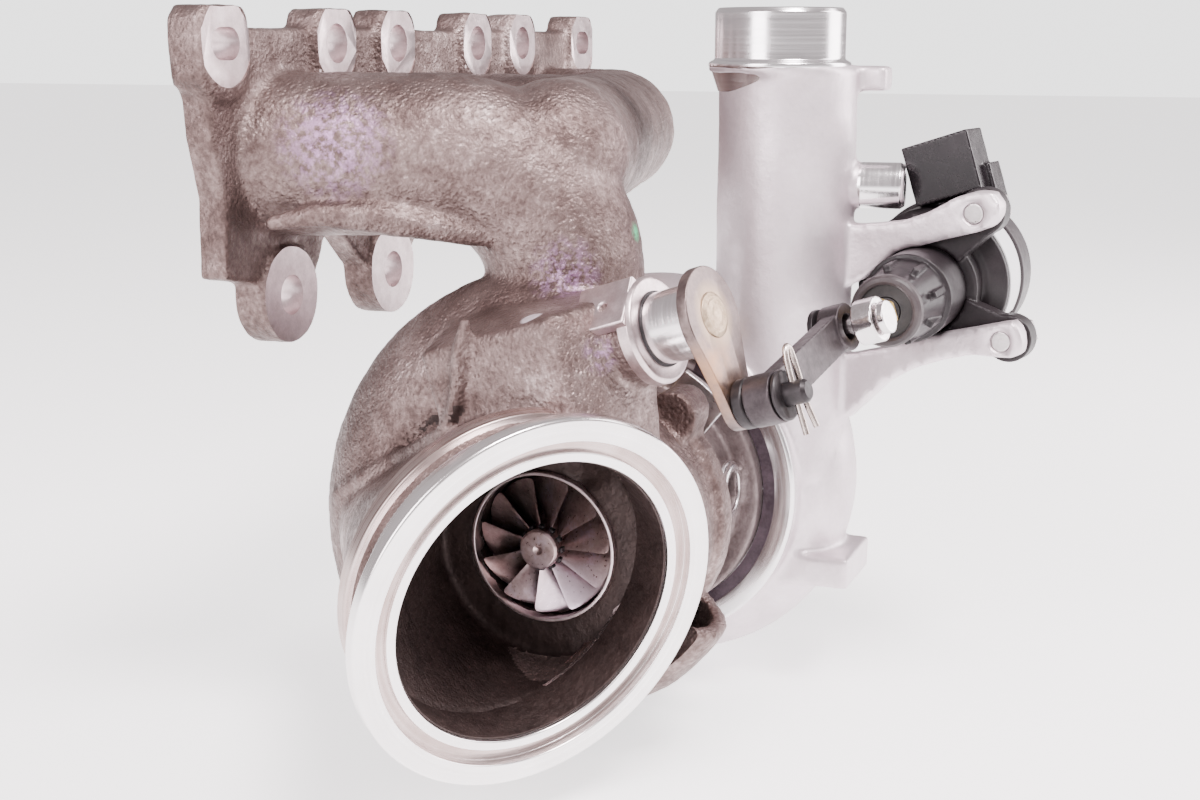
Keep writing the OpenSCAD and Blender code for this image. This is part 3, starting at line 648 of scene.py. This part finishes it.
extra = [prism_bm(FLANGE, T(0, 3, 0) @ XZ, 9)]
for x in UPPER:
    extra.append(prism_bm(boss_outline(x), T(0, 3, 0) @ XZ, 13.5))
for x in LOWER:
    extra.append(cyl_bm(T(x, 3, -68.6) @ XZ, 13.2, 16))
# the rib across the first runner, the parting ridges of the volute, the boss above the column and the closed ends of the clamp screw holes
extra.append(tube_bm([(-110, -14, -47), (-104, -26, -44.5), (-96, -40, -45.5), (-88, -55, -48.5), (-80, -68, -52.5)], [2.0, 3.4, 4.4, 4.0, 2.0], 14))
extra.append(cyl_bm(WG @ T(0, 0, -34), 13.4, 19.4, 8))
extra.append(tube_bm([(-113.5, -74.5, -68), (-112.8, -72.8, -75.1), (-112.3, -70.9, -90.7), (-111.5, -66.9, -98)], [1.4, 2.3, 2.3, 1.8], 14))
extra.append(tube_bm([(-90, -20.3, -125.8), (-95.1, -33.2, -118.3), (-96, -44.5, -111.5), (-104, -55, -106), (-111.5, -66.9, -98)], [1.6, 2.6, 2.6, 2.6, 1.8], 14))
extra.append(ball_bm((-56.8, -74.95, -30), 20.6))
for a in (45, 141, 219, 325):
    extra.append(cyl_bm(on_shaft(-60) @ RZ(a) @ T(40.5, 0, 0), 7.5, 7.6, 32))
me = moulded(gather(["exhaust_manifold", "turbine_housing"], extra), VOX, 9)
print("casting verts", len(me.vertices))


def machined_zone(co):
    o = local(on_outlet(), co)
    return np.clip((o[:, 2] + 22) / 6, 0, 1) * (np.hypot(o[:, 0], o[:, 1]) < 60)


me = grain(me, [(0.16, 2.3), (0.30, 9.0)], machined_zone)
cutter = box_bm((300, 60, 300), (0, 30, -80))
me = cut(me, cutter)


def merged(parts):
    """Several closed solids in one bmesh."""
    bm = bmesh.new()
    for b in parts:
        t = bpy.data.meshes.new("t")
        b.to_mesh(t)
        b.free()
        bm.from_mesh(t)
        bpy.data.meshes.remove(t)
    return bm


me = modified(me, ("WELD", {"merge_threshold": 1e-5}))
me = cut(me, merged([cyl_bm(T(x, -10, 0) @ XZ, 11.2, 18, 64) for x in UPPER] + [cyl_bm(T(x, -9.6, -68.6) @ XZ, 14.2, 18, 64) for x in LOWER]))
holes = []
for i, x in enumerate(UPPER):
    if i in (0, 5):
        pts = [(x + s * 2 + 4.2 * math.cos(R(a)), 4.2 * math.sin(R(a))) for s, a0 in ((1, -90), (-1, 90)) for a in range(a0, a0 + 181, 12)]
        holes.append(prism_bm(pts, T(0, 5, 0) @ XZ, 19))
    else:
        holes.append(cyl_bm(T(x, 5, 0) @ XZ, 5.6, 19, 48))
for x in LOWER:
    holes.append(cyl_bm(T(x, 5, -68.6) @ XZ, 5.6, 19, 48))
# the exhaust ports through the flange
holes.append(cyl_bm(T(-91, 5, -30) @ XZ, 17.8, 12.5, 96))
me = cut(me, merged(holes))
sweep = [(91, 5, -30), (91, -4, -30)] + [(55 + 36 * math.cos(R(-a)), -10 + 36 * math.sin(R(-a)), -30) for a in range(0, 77, 4)] + [(20, -55.8, -30), (-57, -75, -30)]
me = cut(me, tube_bm(sweep, 16, 48))
me = cut(me, tube_bm([(0, 5, -30), (0, -57, -30)], 16, 48))
# the outlet face, the turned collar and the spindle boss are cut flat for their machined pieces
me = cut(me, cyl_bm(on_outlet(-8.6), 58, 14, 96))
me = cut(me, cyl_bm(WG @ T(0, 0, -14.7), 17, 10, 48))
me = cut(me, cyl_bm(WG @ T(0, 0, -34), 9.5, 30, 48))
# materials by place: 0 rough skin, 1 machined, 2 sooty inside
fc, fn = face_arrays(me)
idx = np.zeros(len(fc), np.int32)
for x, r, y in ((-91, 18, -9), (0, 16.2, -60), (91, 16.2, -14)):
    idx[(np.hypot(fc[:, 0] - x, fc[:, 2] + 30) < r) & (fc[:, 1] < -0.3) & (fc[:, 1] > y)] = 2
flat = (np.abs(fn[:, 1]) > 0.98) & (fc[:, 1] > -10.2) & ((fc[:, 1] > -0.05) | (np.abs(fc[:, 1] + 10) < 0.06) | (np.abs(fc[:, 1] + 9.6) < 0.06))
for x, z, r in [(x, 0, 7.5) for x in UPPER] + [(x, -68.6, 5.75) for x in LOWER]:
    flat |= (np.hypot(fc[:, 0] - x, fc[:, 2] - z) < r) & (fc[:, 1] > -10.1) & (np.abs(fn[:, 1]) < 0.3)
idx[flat] = 1
w = local(WG, fc)
idx[(np.hypot(w[:, 0], w[:, 1]) < 15.5) & (np.abs(w[:, 2] + 14.7) < 0.1)] = 1
o = local(on_outlet(), fc)
s = local(on_shaft(), fc)
ro, rs = np.hypot(o[:, 0], o[:, 1]), np.hypot(s[:, 0], s[:, 1])
fo = fn @ np.array(on_outlet().to_3x3())
away = o[:, 0] * fo[:, 0] + o[:, 1] * fo[:, 1]
inner = (ro < 40.2) & (o[:, 2] < 2) & (o[:, 2] > -70) & (((away < 0.35 * ro) & (ro < 38.8) & (rs < 38.5)) | ((away < 0) & (rs < 46) & (ro < 39.2)) | ((fn[:, 0] < -0.3) & (rs < 36) & (ro < 38.6))) & (fc[:, 0] < -62)
idx[inner] = 2
idx[(rs < 31) & (fc[:, 0] < -60) & (fc[:, 0] > -97)] = 2
me.polygons.foreach_set("material_index", idx)
casting = place("cast_manifold_and_turbine_housing", to_metres(me), [M_IRON, M_SPOT, M_CHAMBER], "housing", ["exhaust_manifold", "turbine_housing"], "cast_iron", 0)
me = casting.data
me.polygons.foreach_set("material_index", idx)
me.set_sharp_from_angle(angle=R(42))

# the V-band flange: tapered clamp flange, joint groove and inner lip
lathe("outlet_clamp_flange", [(38.8, -15.5), (38.8, 0.0, 0.5), (41.4, 0.0, 0.3), (41.4, -1.4, 0.2), (44.8, -1.4, 0.3), (44.8, 1.5, 0.4), (50.9, 1.5, 0.9),
      (50.9, -2.2, 0.6), (43.6, -8.4, 1.0), (43.4, -15.5)], on_outlet(), [M_RING], seg=192, nodes=["turbine_housing"], slot="cast_iron")
lathe("outlet_joint_groove", [(41.5, -1.6), (41.5, -1.25, 0.1), (44.7, -1.25, 0.1), (44.7, -1.6)], on_outlet(), M_RINGBROWN, seg=160, nodes=["turbine_housing"], slot="cast_iron")
lathe("outlet_turned_collar", [(41.6, -20), (41.6, -15.6), (43.3, -15.4, 0.4), (44.9, -16.2, 0.6), (44.9, -20)], on_outlet(), M_RINGBROWN, seg=160, nodes=["turbine_housing"], slot="cast_iron")
lathe("outlet_soot_sleeve", [(38.3, -14), (38.3, -1.4, 0.2), (38.75, -1.2, 0.1), (38.75, -14)], on_outlet(), M_CHAMBER, seg=160, nodes=["turbine_housing"], slot="cast_iron")
# the shroud lip round the wheel and the soft ridge outside it
lathe("turbine_shroud_lip", [(20.05, -82), (20.05, -91.5, 0.2), (21.0, -91.5, 0.3), (21.1, -90.0, 0.3), (21.1, -82)], on_shaft(), M_SPOT, seg=128, nodes=["turbine_housing"], slot="cast_iron")
# spindle boss face and pad
lathe("spindle_boss_face", [(9.5, -16.5), (9.5, -14.4, 0.3), (13.3, -14.4, 0.9), (14.0, -15.6, 0.5), (14.0, -18.5)], WG, M_SPOT, seg=64, nodes=["turbine_housing"], slot="cast_iron")
pad = plate_mesh([(-7.2, -8), (7.2, -8), (7.2, 8), (-7.2, 8)], [circle(0.5, 0.5, 1.2, 20)], -3.2, 0, 0.7, WG @ RZ(226.7) @ T(14.0, 0, -23.5) @ RY(90) @ RZ(90))
place("machined_pad", pad, M_SPOT, nodes=["turbine_housing"], slot="cast_iron")

# ---------------------------------------------------------------- the compressor housing
DUCT, TUBE = (7, -123.5), (6, -121)
extra = []
for k in range(8):
    a = k * 45
    extra.append(tube_bm([Vector((30, SHAFT_Y + 29 * math.cos(R(a)), SHAFT_Z + 29 * math.sin(R(a)))), Vector((24, SHAFT_Y + 45 * math.cos(R(a)), SHAFT_Z + 45 * math.sin(R(a))))], 2.4, 12))
me = moulded(gather(["compressor_housing"], extra), VOX * 0.95, 9)
me = grain(me, [(0.05, 2.4), (0.22, 14.0)])
me = cut(me, cyl_bm(T(TUBE[0], TUBE[1], -6.2), 26, 30, 64))
me = cut(me, cyl_bm(on_shaft(-30), 53, 12.3, 96))
me = cut(me, cyl_bm(on_shaft(46), 40, 20, 64))
fc, fn = face_arrays(me)
idx = np.zeros(len(fc), np.int32)
s = local(on_shaft(), fc)
rs = np.hypot(s[:, 0], s[:, 1])
idx[(rs < 44.6) & (fc[:, 0] < 9) & (fc[:, 0] > -18.5)] = 1
idx[(fc[:, 0] < -17.6) & (fn[:, 0] < -0.9)] = 1
idx[(rs < 21.5) & (fc[:, 0] > 0)] = 1
wl = local(WG, fc)
wn = fn @ np.array(WG.to_3x3())
housing = place("cast_compressor_housing", to_metres(me), [M_ALLOY, M_MILLED], "housing", ["compressor_housing"], "cast_aluminium", 0)
housing.data.polygons.foreach_set("material_index", idx)
housing.data.set_sharp_from_angle(angle=R(45))
lathe("charge_outlet_spigot", [(16.6, -14), (16.6, 10.0, 0.8), (17.6, 10.4, 0.4), (18.5, 10.4, 0.9), (19.5, 9.0, 0.9), (19.5, -4.6, 0.8), (21.3, -5.6, 0.7), (21.3, -6.6, 0.3), (20.4, -8.2), (18.4, -14)],
      T(TUBE[0], TUBE[1], 0), M_MALU, seg=128, n=6, nodes=["compressor_housing"], slot="milled_aluminium")
lathe("compressor_face_ring", [(44.0, -14), (44.0, -18.0, 0.3), (49.4, -18.0, 0.7), (50.0, -17.0, 0.5), (50.0, -14)], on_shaft(), M_MALU, seg=160, nodes=["compressor_housing"], slot="milled_aluminium")
lathe("side_nozzle_tip", [(4.4, 21), (4.4, 35.4, 0.3), (5.9, 36.0, 0.5), (6.9, 34.6, 0.6), (6.9, 23.0, 0.8), (6.5, 21)], T(DUCT[0], DUCT[1], -41.7) @ RZ(-82) @ RY(90), M_MALU, seg=64, nodes=["compressor_housing"], slot="milled_aluminium")
lathe("air_inlet_mouth", [(21, 38), (21, 51.4, 0.5), (23.4, 52, 0.6), (24.2, 50.8, 0.4), (24.2, 50.2, 0.2), (25, 49.6, 0.7), (25, 46.4, 0.7), (24.2, 45.9, 0.2), (24.0, 38)], on_shaft(), M_MALU, seg=128, nodes=["compressor_housing"], slot="milled_aluminium")


# ---------------------------------------------------------------- wheels
def blade_wheel(name, hub, blades, x_in, x_out, tip, root_r, twist, thick, mat, body, nodes, slot, short=None, power=1.6, dimple=True):
    """A hub of revolution with curved, tapered blades; z along the shaft (= X)."""
    bm = bmesh.new()
    NU, NV = 14, 8
    zs = [x_in + (x_out - x_in) * k / (NU - 1) for k in range(NU)]
    for b in range(blades):
        base = 2 * math.pi * b / blades
        zz = zs if not (short and b % 2) else [short + (x_out - short) * k / (NU - 1) for k in range(NU)]
        grid = {}
        for i, z in enumerate(zz):
            for j in range(NV):
                v = j / (NV - 1)
                r = root_r(z) * (1 - v) + tip(z) * v
                t = abs(z - x_out) / abs(x_in - x_out)
                th = base + twist * t ** power
                w = (thick * (1.25 - 0.75 * v)) * (0.35 + 0.65 * math.sin(math.pi * min(1, max(0, 0.08 + 0.84 * i / (NU - 1))))) / 2
                for sd in (-1, 1):
                    a = th + sd * w / max(r, 3)
                    grid[i, j, sd] = bm.verts.new((r * math.cos(a), r * math.sin(a), z))
        for i in range(NU - 1):
            for j in range(NV - 1):
                for sd in (-1, 1):
                    q = [grid[i, j, sd], grid[i + 1, j, sd], grid[i + 1, j + 1, sd], grid[i, j + 1, sd]]
                    bm.faces.new(q if sd > 0 else q[::-1])
            for j, flip in ((0, False), (NV - 1, True)):
                q = [grid[i, j, -1], grid[i + 1, j, -1], grid[i + 1, j, 1], grid[i, j, 1]]
                bm.faces.new(q if not flip else q[::-1])
        for j in range(NV - 1):
            for i, flip in ((0, True), (NU - 1, False)):
                q = [grid[i, j, -1], grid[i, j + 1, -1], grid[i, j + 1, 1], grid[i, j, 1]]
                bm.faces.new(q[::-1] if flip else q)
    bmesh.ops.recalc_face_normals(bm, faces=bm.faces[:])
    me = mm_mesh(bm, on_shaft())
    me = modified(me, ("SUBSURF", {"levels": 1, "render_levels": 1}))
    o = place(name + "_blades", me, mat, body, nodes, slot, 50)
    lathe(name + "_hub", hub, on_shaft(), mat, seg=96, body=body, nodes=nodes, slot=slot)
    return o


def interp(pairs):
    xs, ys = zip(*sorted(pairs))
    return lambda z: float(np.interp(z, xs, ys))


t_hub = [(0, -93.4), (0.7, -93.5), (1.3, -94.0, 0.15), (5.0, -94.0, 0.4), (5.5, -93.4, 0.3), (5.5, -92.2, 0.2), (4.9, -91.9, 0.2), (5.2, -88), (7.0, -82), (9.2, -76.5), (13, -71.2), (19.0, -68.6, 0.3),
         (19.0, -66.8, 0.3), (8.0, -66.2), (8.0, -60.4), (0, -60.4)]
blade_wheel("turbine_wheel", t_hub, 11, -90.5, -68.5, interp([(-90.5, 19.3), (-81, 19.3), (-76, 21.4), (-68.5, 21.5)]),
            interp([(-90.5, 4.6), (-82, 6.2), (-76.5, 8.2), (-71, 12), (-68.5, 17.5)]), R(74), 1.4, wheel_alloy(), "rotor", ["turbine_wheel"], "turbine_alloy", power=1.9)
bm = bmesh.new()
for k in range(12):
    t = 2 * math.pi * k / 12
    c = box_bm((0.9, 1.5, 1.8), (0, 0, 0))
    c.transform(RZ(math.degrees(t)) @ T(5.9, 0, -91.0))
    tmp = bpy.data.meshes.new("t"); c.to_mesh(tmp); c.free(); bm.from_mesh(tmp); bpy.data.meshes.remove(tmp)
cm = modified(mm_mesh(bm, on_shaft()), ("BEVEL", {"width": 0.0002, "segments": 2}))
place("wheel_balancing_teeth", cm, M_DARK, "rotor", ["turbine_wheel"], "turbine_alloy")
c_hub = [(2.85, -6.0), (23.9, -6.0, 0.3), (23.9, -5.1, 0.3), (14, -2), (8, 5), (5.7, 13), (5.1, 18.0, 0.3), (2.85, 18.0)]
blade_wheel("compressor_wheel", c_hub, 12, 15.6, -5.0, interp([(-5, 23.9), (-3.0, 23.9), (0, 20), (8, 17), (16, 17)]),
            interp([(-5, 23.0), (-4.2, 20), (-2, 13.6), (5, 7.6), (16, 5)]), R(48), 1.1, M_MILLED, "rotor", ["compressor_wheel"], "milled_aluminium", short=8.5)

# ---------------------------------------------------------------- centre section and inner pieces
soften("rough_bearing_housing", ["bearing_housing"], M_BEARING, 0.7, 6, slot="bearing_iron")
soften("clamp_plates", ["turbine_clamp_plates"], M_STEEL, 0.35, 2, slot="steel")
soften("clamp_bolts", ["turbine_clamp_bolts"], M_STEEL, 0.3, 2, slot="steel")
soften("feed_union", ["oil_feed_union"], M_ZINC, 0.35, 2, slot="steel")
lathe("water_port_face_front", [(6.1, 13.0), (6.1, 15.2, 0.4), (8.0, 15.2, 0.8), (9.2, 13.8, 0.4), (9.2, 13.0)], T(-31, SHAFT_Y - 20, SHAFT_Z + 4) @ RX(90), M_BUSH, seg=64, nodes=["bearing_housing"], slot="bearing_iron")
plain = {"heat_shield": M_SHIELD, "journal_bearing_turbine": M_BRONZE, "journal_bearing_compressor": M_BRONZE, "bearing_spacer": M_STEEL,
         "thrust_bearing": M_BRONZE, "compressor_backplate": M_MILLED, "backplate_seal": M_RUBBER, "snap_ring": M_SNAP,
         "turbine_piston_ring": M_STEEL, "rotor_shaft": M_CHROME, "thrust_collar": M_STEEL, "oil_flinger": M_STEEL, "compressor_piston_ring": M_STEEL,
         "compressor_nut": M_STEEL, "wastegate_spindle": M_STEEL, "wastegate_flap": M_STEEL, "flap_washer": M_STEEL, "actuator_motor": M_CAN,
         "drive_screw": M_CHROME, "screw_bearing": M_STEEL, "rod_seal": M_RUBBER, "connector_pins": M_BRASS, "actuator_label": M_LABEL}
for n, m in plain.items():
    d = NODES[n].data
    d.materials.clear()
    d.materials.append(m)

# ---------------------------------------------------------------- wastegate linkage
lathe("spindle_bush", [(4.3, -33), (4.3, -2.0, 0.3), (8.7, -1.8, 0.7), (9.3, -2.6, 0.4), (9.3, -33)], WG, M_BUSH, seg=96, nodes=["wastegate_bushing"], slot="heat_steel")
lathe("bush_root_shadow_groove", [(9.25, -14.6), (9.25, -13.9, 0.2), (9.9, -13.9, 0.2), (9.9, -14.6)], WG, M_DARK, seg=64, nodes=["wastegate_bushing"], slot="heat_steel")


def tangent_outline(c0, r0, c1, r1, n=28, waist=0.0):
    """Outline of two round ends joined by slightly hollow sides."""
    c0, c1 = Vector(c0), Vector(c1)
    dd = (c1 - c0).length
    a = math.atan2((c1 - c0).y, (c1 - c0).x)
    b = math.acos((r0 - r1) / dd)
    pts = [c0 + Vector((math.cos(t), math.sin(t))) * r0 for t in (a + b + (2 * math.pi - 2 * b) * k / n for k in range(n + 1))]
    q0, q1 = pts[-1], c1 + Vector((math.cos(a - b), math.sin(a - b))) * r1
    nrm = Vector((math.cos(a - b), math.sin(a - b)))
    pts += [q0.lerp(q1, k / 8) - nrm * waist * math.sin(math.pi * k / 8) for k in range(1, 8)]
    pts += [c1 + Vector((math.cos(t), math.sin(t))) * r1 for t in (a - b + 2 * b * k / n for k in range(n + 1))]
    q0, q1 = pts[-1], c0 + Vector((math.cos(a + b), math.sin(a + b))) * r0
    nrm = Vector((math.cos(a + b), math.sin(a + b)))
    pts += [q0.lerp(q1, k / 8) - nrm * waist * math.sin(math.pi * k / 8) for k in range(1, 8)]
    return [tuple(p) for p in pts]


place("wastegate_lever_plate", plate_mesh(tangent_outline((0, 0), 12.6, (PIN_X, PIN_Y), 6.2, waist=0.5), [circle(0, 0, 4.3), circle(PIN_X, PIN_Y, 3.05)], -1.5, 1.5, 0.35, WG),
      M_LEVER, "wastegate", ["wastegate_lever"], "wastegate_steel")
lathe("lever_weld_bead", [(0, 1.35), (5.9, 1.35), (5.75, 1.9, 0.3), (4.4, 2.45, 0.4), (3.6, 2.1, 0.3), (2.4, 2.45, 0.3), (1.5, 2.25, 0.2), (0, 2.0)], WG, M_WELD, seg=64, n=3, body="wastegate", nodes=["lever_weld"], slot="wastegate_steel")
lathe("lever_pin_body", [(0, -2.5), (4.3, -2.5, 0.4), (4.6, -1.6, 0.2), (3.05, -1.45), (3.0, 1.45), (6.0, 1.55, 0.4), (6.4, 2.1, 0.4), (6.4, 4.4, 0.4), (5.9, 4.9, 0.3), (3.0, 5.0), (3.0, 19.6, 0.5), (2.2, 20.5, 0.3), (0, 20.5)],
      at_pin(0), M_DARK, seg=64, body="wastegate", nodes=["lever_pin"], slot="dark_steel")
lathe("pin_retaining_washer", [(3.05, 13.05), (3.05, 14.5, 0.1), (5.9, 14.55, 0.4), (6.4, 14.1, 0.3), (6.4, 13.4, 0.3), (5.9, 13.05, 0.2)], at_pin(0), M_DARK, seg=64, body="wastegate", nodes=["pin_washer"], slot="dark_steel")
# the spring clip: a loop above the pin, one leg through it and one over it
loop = [(0.0, -10.6, 0.3), (0.0, -4, 0.1), (0, 2, 0), (0.2, 6.0, 0.0), (0.4, 8.6, 0.0), (1.0, 10.6, 0.0), (2.1, 11.5, 0.0), (3.3, 10.8, 0.0), (3.9, 8.8, 0.0), (4.05, 6.0, 0.1), (4.15, 3.0, 0.15), (4.3, 0.0, 0.1), (4.15, -3.5, 0.3), (4.9, -9.6, 1.0)]


def smooth_path(pts, n=6):
    P = [Vector(p) for p in pts]
    P = [P[0] * 2 - P[1]] + P + [P[-1] * 2 - P[-2]]
    out = []
    for i in range(1, len(P) - 2):
        for k in range(n):
            t = k / n
            a, b, c, d = P[i - 1], P[i], P[i + 1], P[i + 2]
            out.append(0.5 * ((2 * b) + (c - a) * t + (2 * a - 5 * b + 4 * c - d) * t * t + (3 * b - a - 3 * c + d) * t ** 3))
    out.append(P[-2])
    return out


place("spring_clip", mm_mesh(tube_bm(smooth_path(loop), 0.8, 14), at_pin(16.5) @ RZ(90)), M_WIRE, "wastegate", ["hairpin_clip"], "bright_plating")
LA = math.degrees(math.atan2(KNUCKLE_Y - PIN_Y, ROD_X - PIN_X))
soften("link_bar_forged", ["link_bar"], M_LINK, 0.30, 4, "link", "dark_steel")
# knuckle and push rod
soften("knuckle_pin_turned", ["knuckle_pin"], M_CHROME, 0.2, 2, "rod", "bright_plating")
soften("knuckle_washer_dark", ["knuckle_washers"], M_DARK, 0.2, 2, "rod", "dark_steel")
rod_me = moulded(gather(["push_rod"]), 0.26, 3)
place("push_rod_plated", to_metres(rod_me), M_CHROME, "rod", ["push_rod"], "bright_plating", 0)
nut = prism_bm([(9 / math.sqrt(3) * math.cos(R(60 * k)), 9 / math.sqrt(3) * math.sin(R(60 * k))) for k in range(6)], T(0, 0, 0), 3.4)
nut_me = modified(mm_mesh(nut, on_rod(6.4)), ("BEVEL", {"width": 0.0006, "segments": 3}))
place("lock_nut_yellow", nut_me, M_ZINC, "rod", ["rod_lock_nut"], "steel", 40)

# ---------------------------------------------------------------- actuator
soften("actuator_nose_moulding", ["actuator_nose"], [M_PLASTIC], 0.36, 3, slot="black_plastic")
lathe("actuator_nose_lip", [(7.6, 14.3), (8.3, 13.9, 0.4), (9.4, 14.0, 0.5), (10.1, 14.9, 0.5), (10.1, 17.2, 0.6), (9.0, 18.2, 0.4), (8.2, 18.2)], on_rod(0), M_CUP, seg=96, n=5, nodes=["actuator_nose"], slot="black_plastic")
soften("actuator_body_moulding", ["actuator_body"], [M_PLASTIC], 0.42, 4, slot="black_plastic")
lathe("actuator_rear_cover", [(0, 96.6), (20, 96.6), (20, 83.9), (22.9, 83.9), (24.0, 84.4, 0.6), (24.0, 96.2, 1.4), (19.4, 100.8, 1.6), (17.0, 101.0, 0.6), (16.4, 100.3, 0.5), (0, 100.3)],
      on_rod(0), M_COVER, seg=128, n=6, nodes=["actuator_cover"], slot="black_plastic")
lathe("actuator_cover_band", [(23.0, 83.0), (24.2, 83.2, 0.4), (24.2, 85.4, 0.4), (23.0, 85.6)], on_rod(0), M_COVER, seg=128, nodes=["actuator_cover"], slot="black_plastic")
soften("connector_moulding", ["actuator_connector"], [M_GLOSS], 0.32, 3, slot="connector_plastic")
soften("cover_screw_heads", ["cover_screws"], M_STEEL, 0.2, 2, slot="steel")
soften("actuator_bolt_set", ["actuator_bolts"], M_STEEL, 0.26, 2, slot="steel")

# ---------------------------------------------------------------- floor, light and camera
lo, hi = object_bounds()
ground = bmesh.new()
bmesh.ops.create_grid(ground, x_segments=2, y_segments=2, size=6.0, matrix=Matrix.Translation((0, 0, BOX0[0].z - 0.0004)))
gm = bpy.data.meshes.new("floor")
ground.to_mesh(gm)
ground.free()
floor = bpy.data.objects.new("floor", gm)
COLL.objects.link(floor)
fm = Mat("pale_floor")
fm.colour(fm.ramp(fm.noise(3, 2.0), [(0.3, (0.91, 0.895, 0.90)), (0.7, (0.93, 0.915, 0.92))]))
fm.put("Roughness", 0.9)
fm.put("Specular IOR Level", 0.1)
fm.b.inputs["Emission Color"].default_value = (1.0, 0.99, 0.995, 1)
fm.b.inputs["Emission Strength"].default_value = 1.5
gm.materials.append(fm.m)

world = bpy.data.worlds.new("studio")
bpy.context.scene.world = world
world.use_nodes = True
bg = world.node_tree.nodes["Background"]
bg.inputs["Color"].default_value = (1.0, 0.90, 0.92, 1)
bg.inputs["Strength"].default_value = 0.62
wt = world.node_tree
rays = wt.nodes.new("ShaderNodeLightPath")
seen = wt.nodes.new("ShaderNodeBackground")
seen.inputs["Color"].default_value = (1.0, 0.99, 0.995, 1)
seen.inputs["Strength"].default_value = 2.6
pick = wt.nodes.new("ShaderNodeMixShader")
wt.links.new(rays.outputs["Is Camera Ray"], pick.inputs["Fac"])
wt.links.new(bg.outputs["Background"], pick.inputs[1])
wt.links.new(seen.outputs["Background"], pick.inputs[2])
wt.links.new(pick.outputs["Shader"], wt.nodes["World Output"].inputs["Surface"])


def area(name, loc, aim, size, power, colour=(1, 1, 1)):
    d = bpy.data.lights.new(name, "AREA")
    d.shape = "RECTANGLE"
    d.size, d.size_y = size
    d.energy = power
    d.color = colour
    o = bpy.data.objects.new(name, d)
    COLL.objects.link(o)
    o.location = loc
    o.rotation_euler = (Vector(aim) - Vector(loc)).to_track_quat("-Z", "Y").to_euler()
    return o


AIM = (-0.04, -0.09, -0.09)
area("key_soft", (-0.35, -0.55, 0.85), AIM, (0.4, 0.4), 26, (1.0, 0.93, 0.94))
area("side_soft", (-0.95, 0.25, 0.35), AIM, (0.5, 0.8), 14, (1.0, 0.92, 0.95))
area("right_soft", (0.55, -0.85, 0.25), AIM, (0.6, 0.8), 15, (1.0, 0.93, 0.95))

cam_data = bpy.data.cameras.new("camera")
cam_data.lens = 50
cam_data.sensor_width = 36
cam_data.clip_start, cam_data.clip_end = 0.01, 50
cam = bpy.data.objects.new("camera", cam_data)
COLL.objects.link(cam)
RT = Vector((0.375018345, -0.927017311, 0.000382575846))
UP = Vector((0.19517271, 0.07935918, 0.97755293))
FW = Vector((0.90623885, 0.36652561, -0.21068963))
cam.matrix_world = Matrix(((RT.x, UP.x, -FW.x, -0.48690890), (RT.y, UP.y, -FW.y, -0.26225684), (RT.z, UP.z, -FW.z, 0.00074973), (0, 0, 0, 1)))
bpy.context.scene.camera = cam
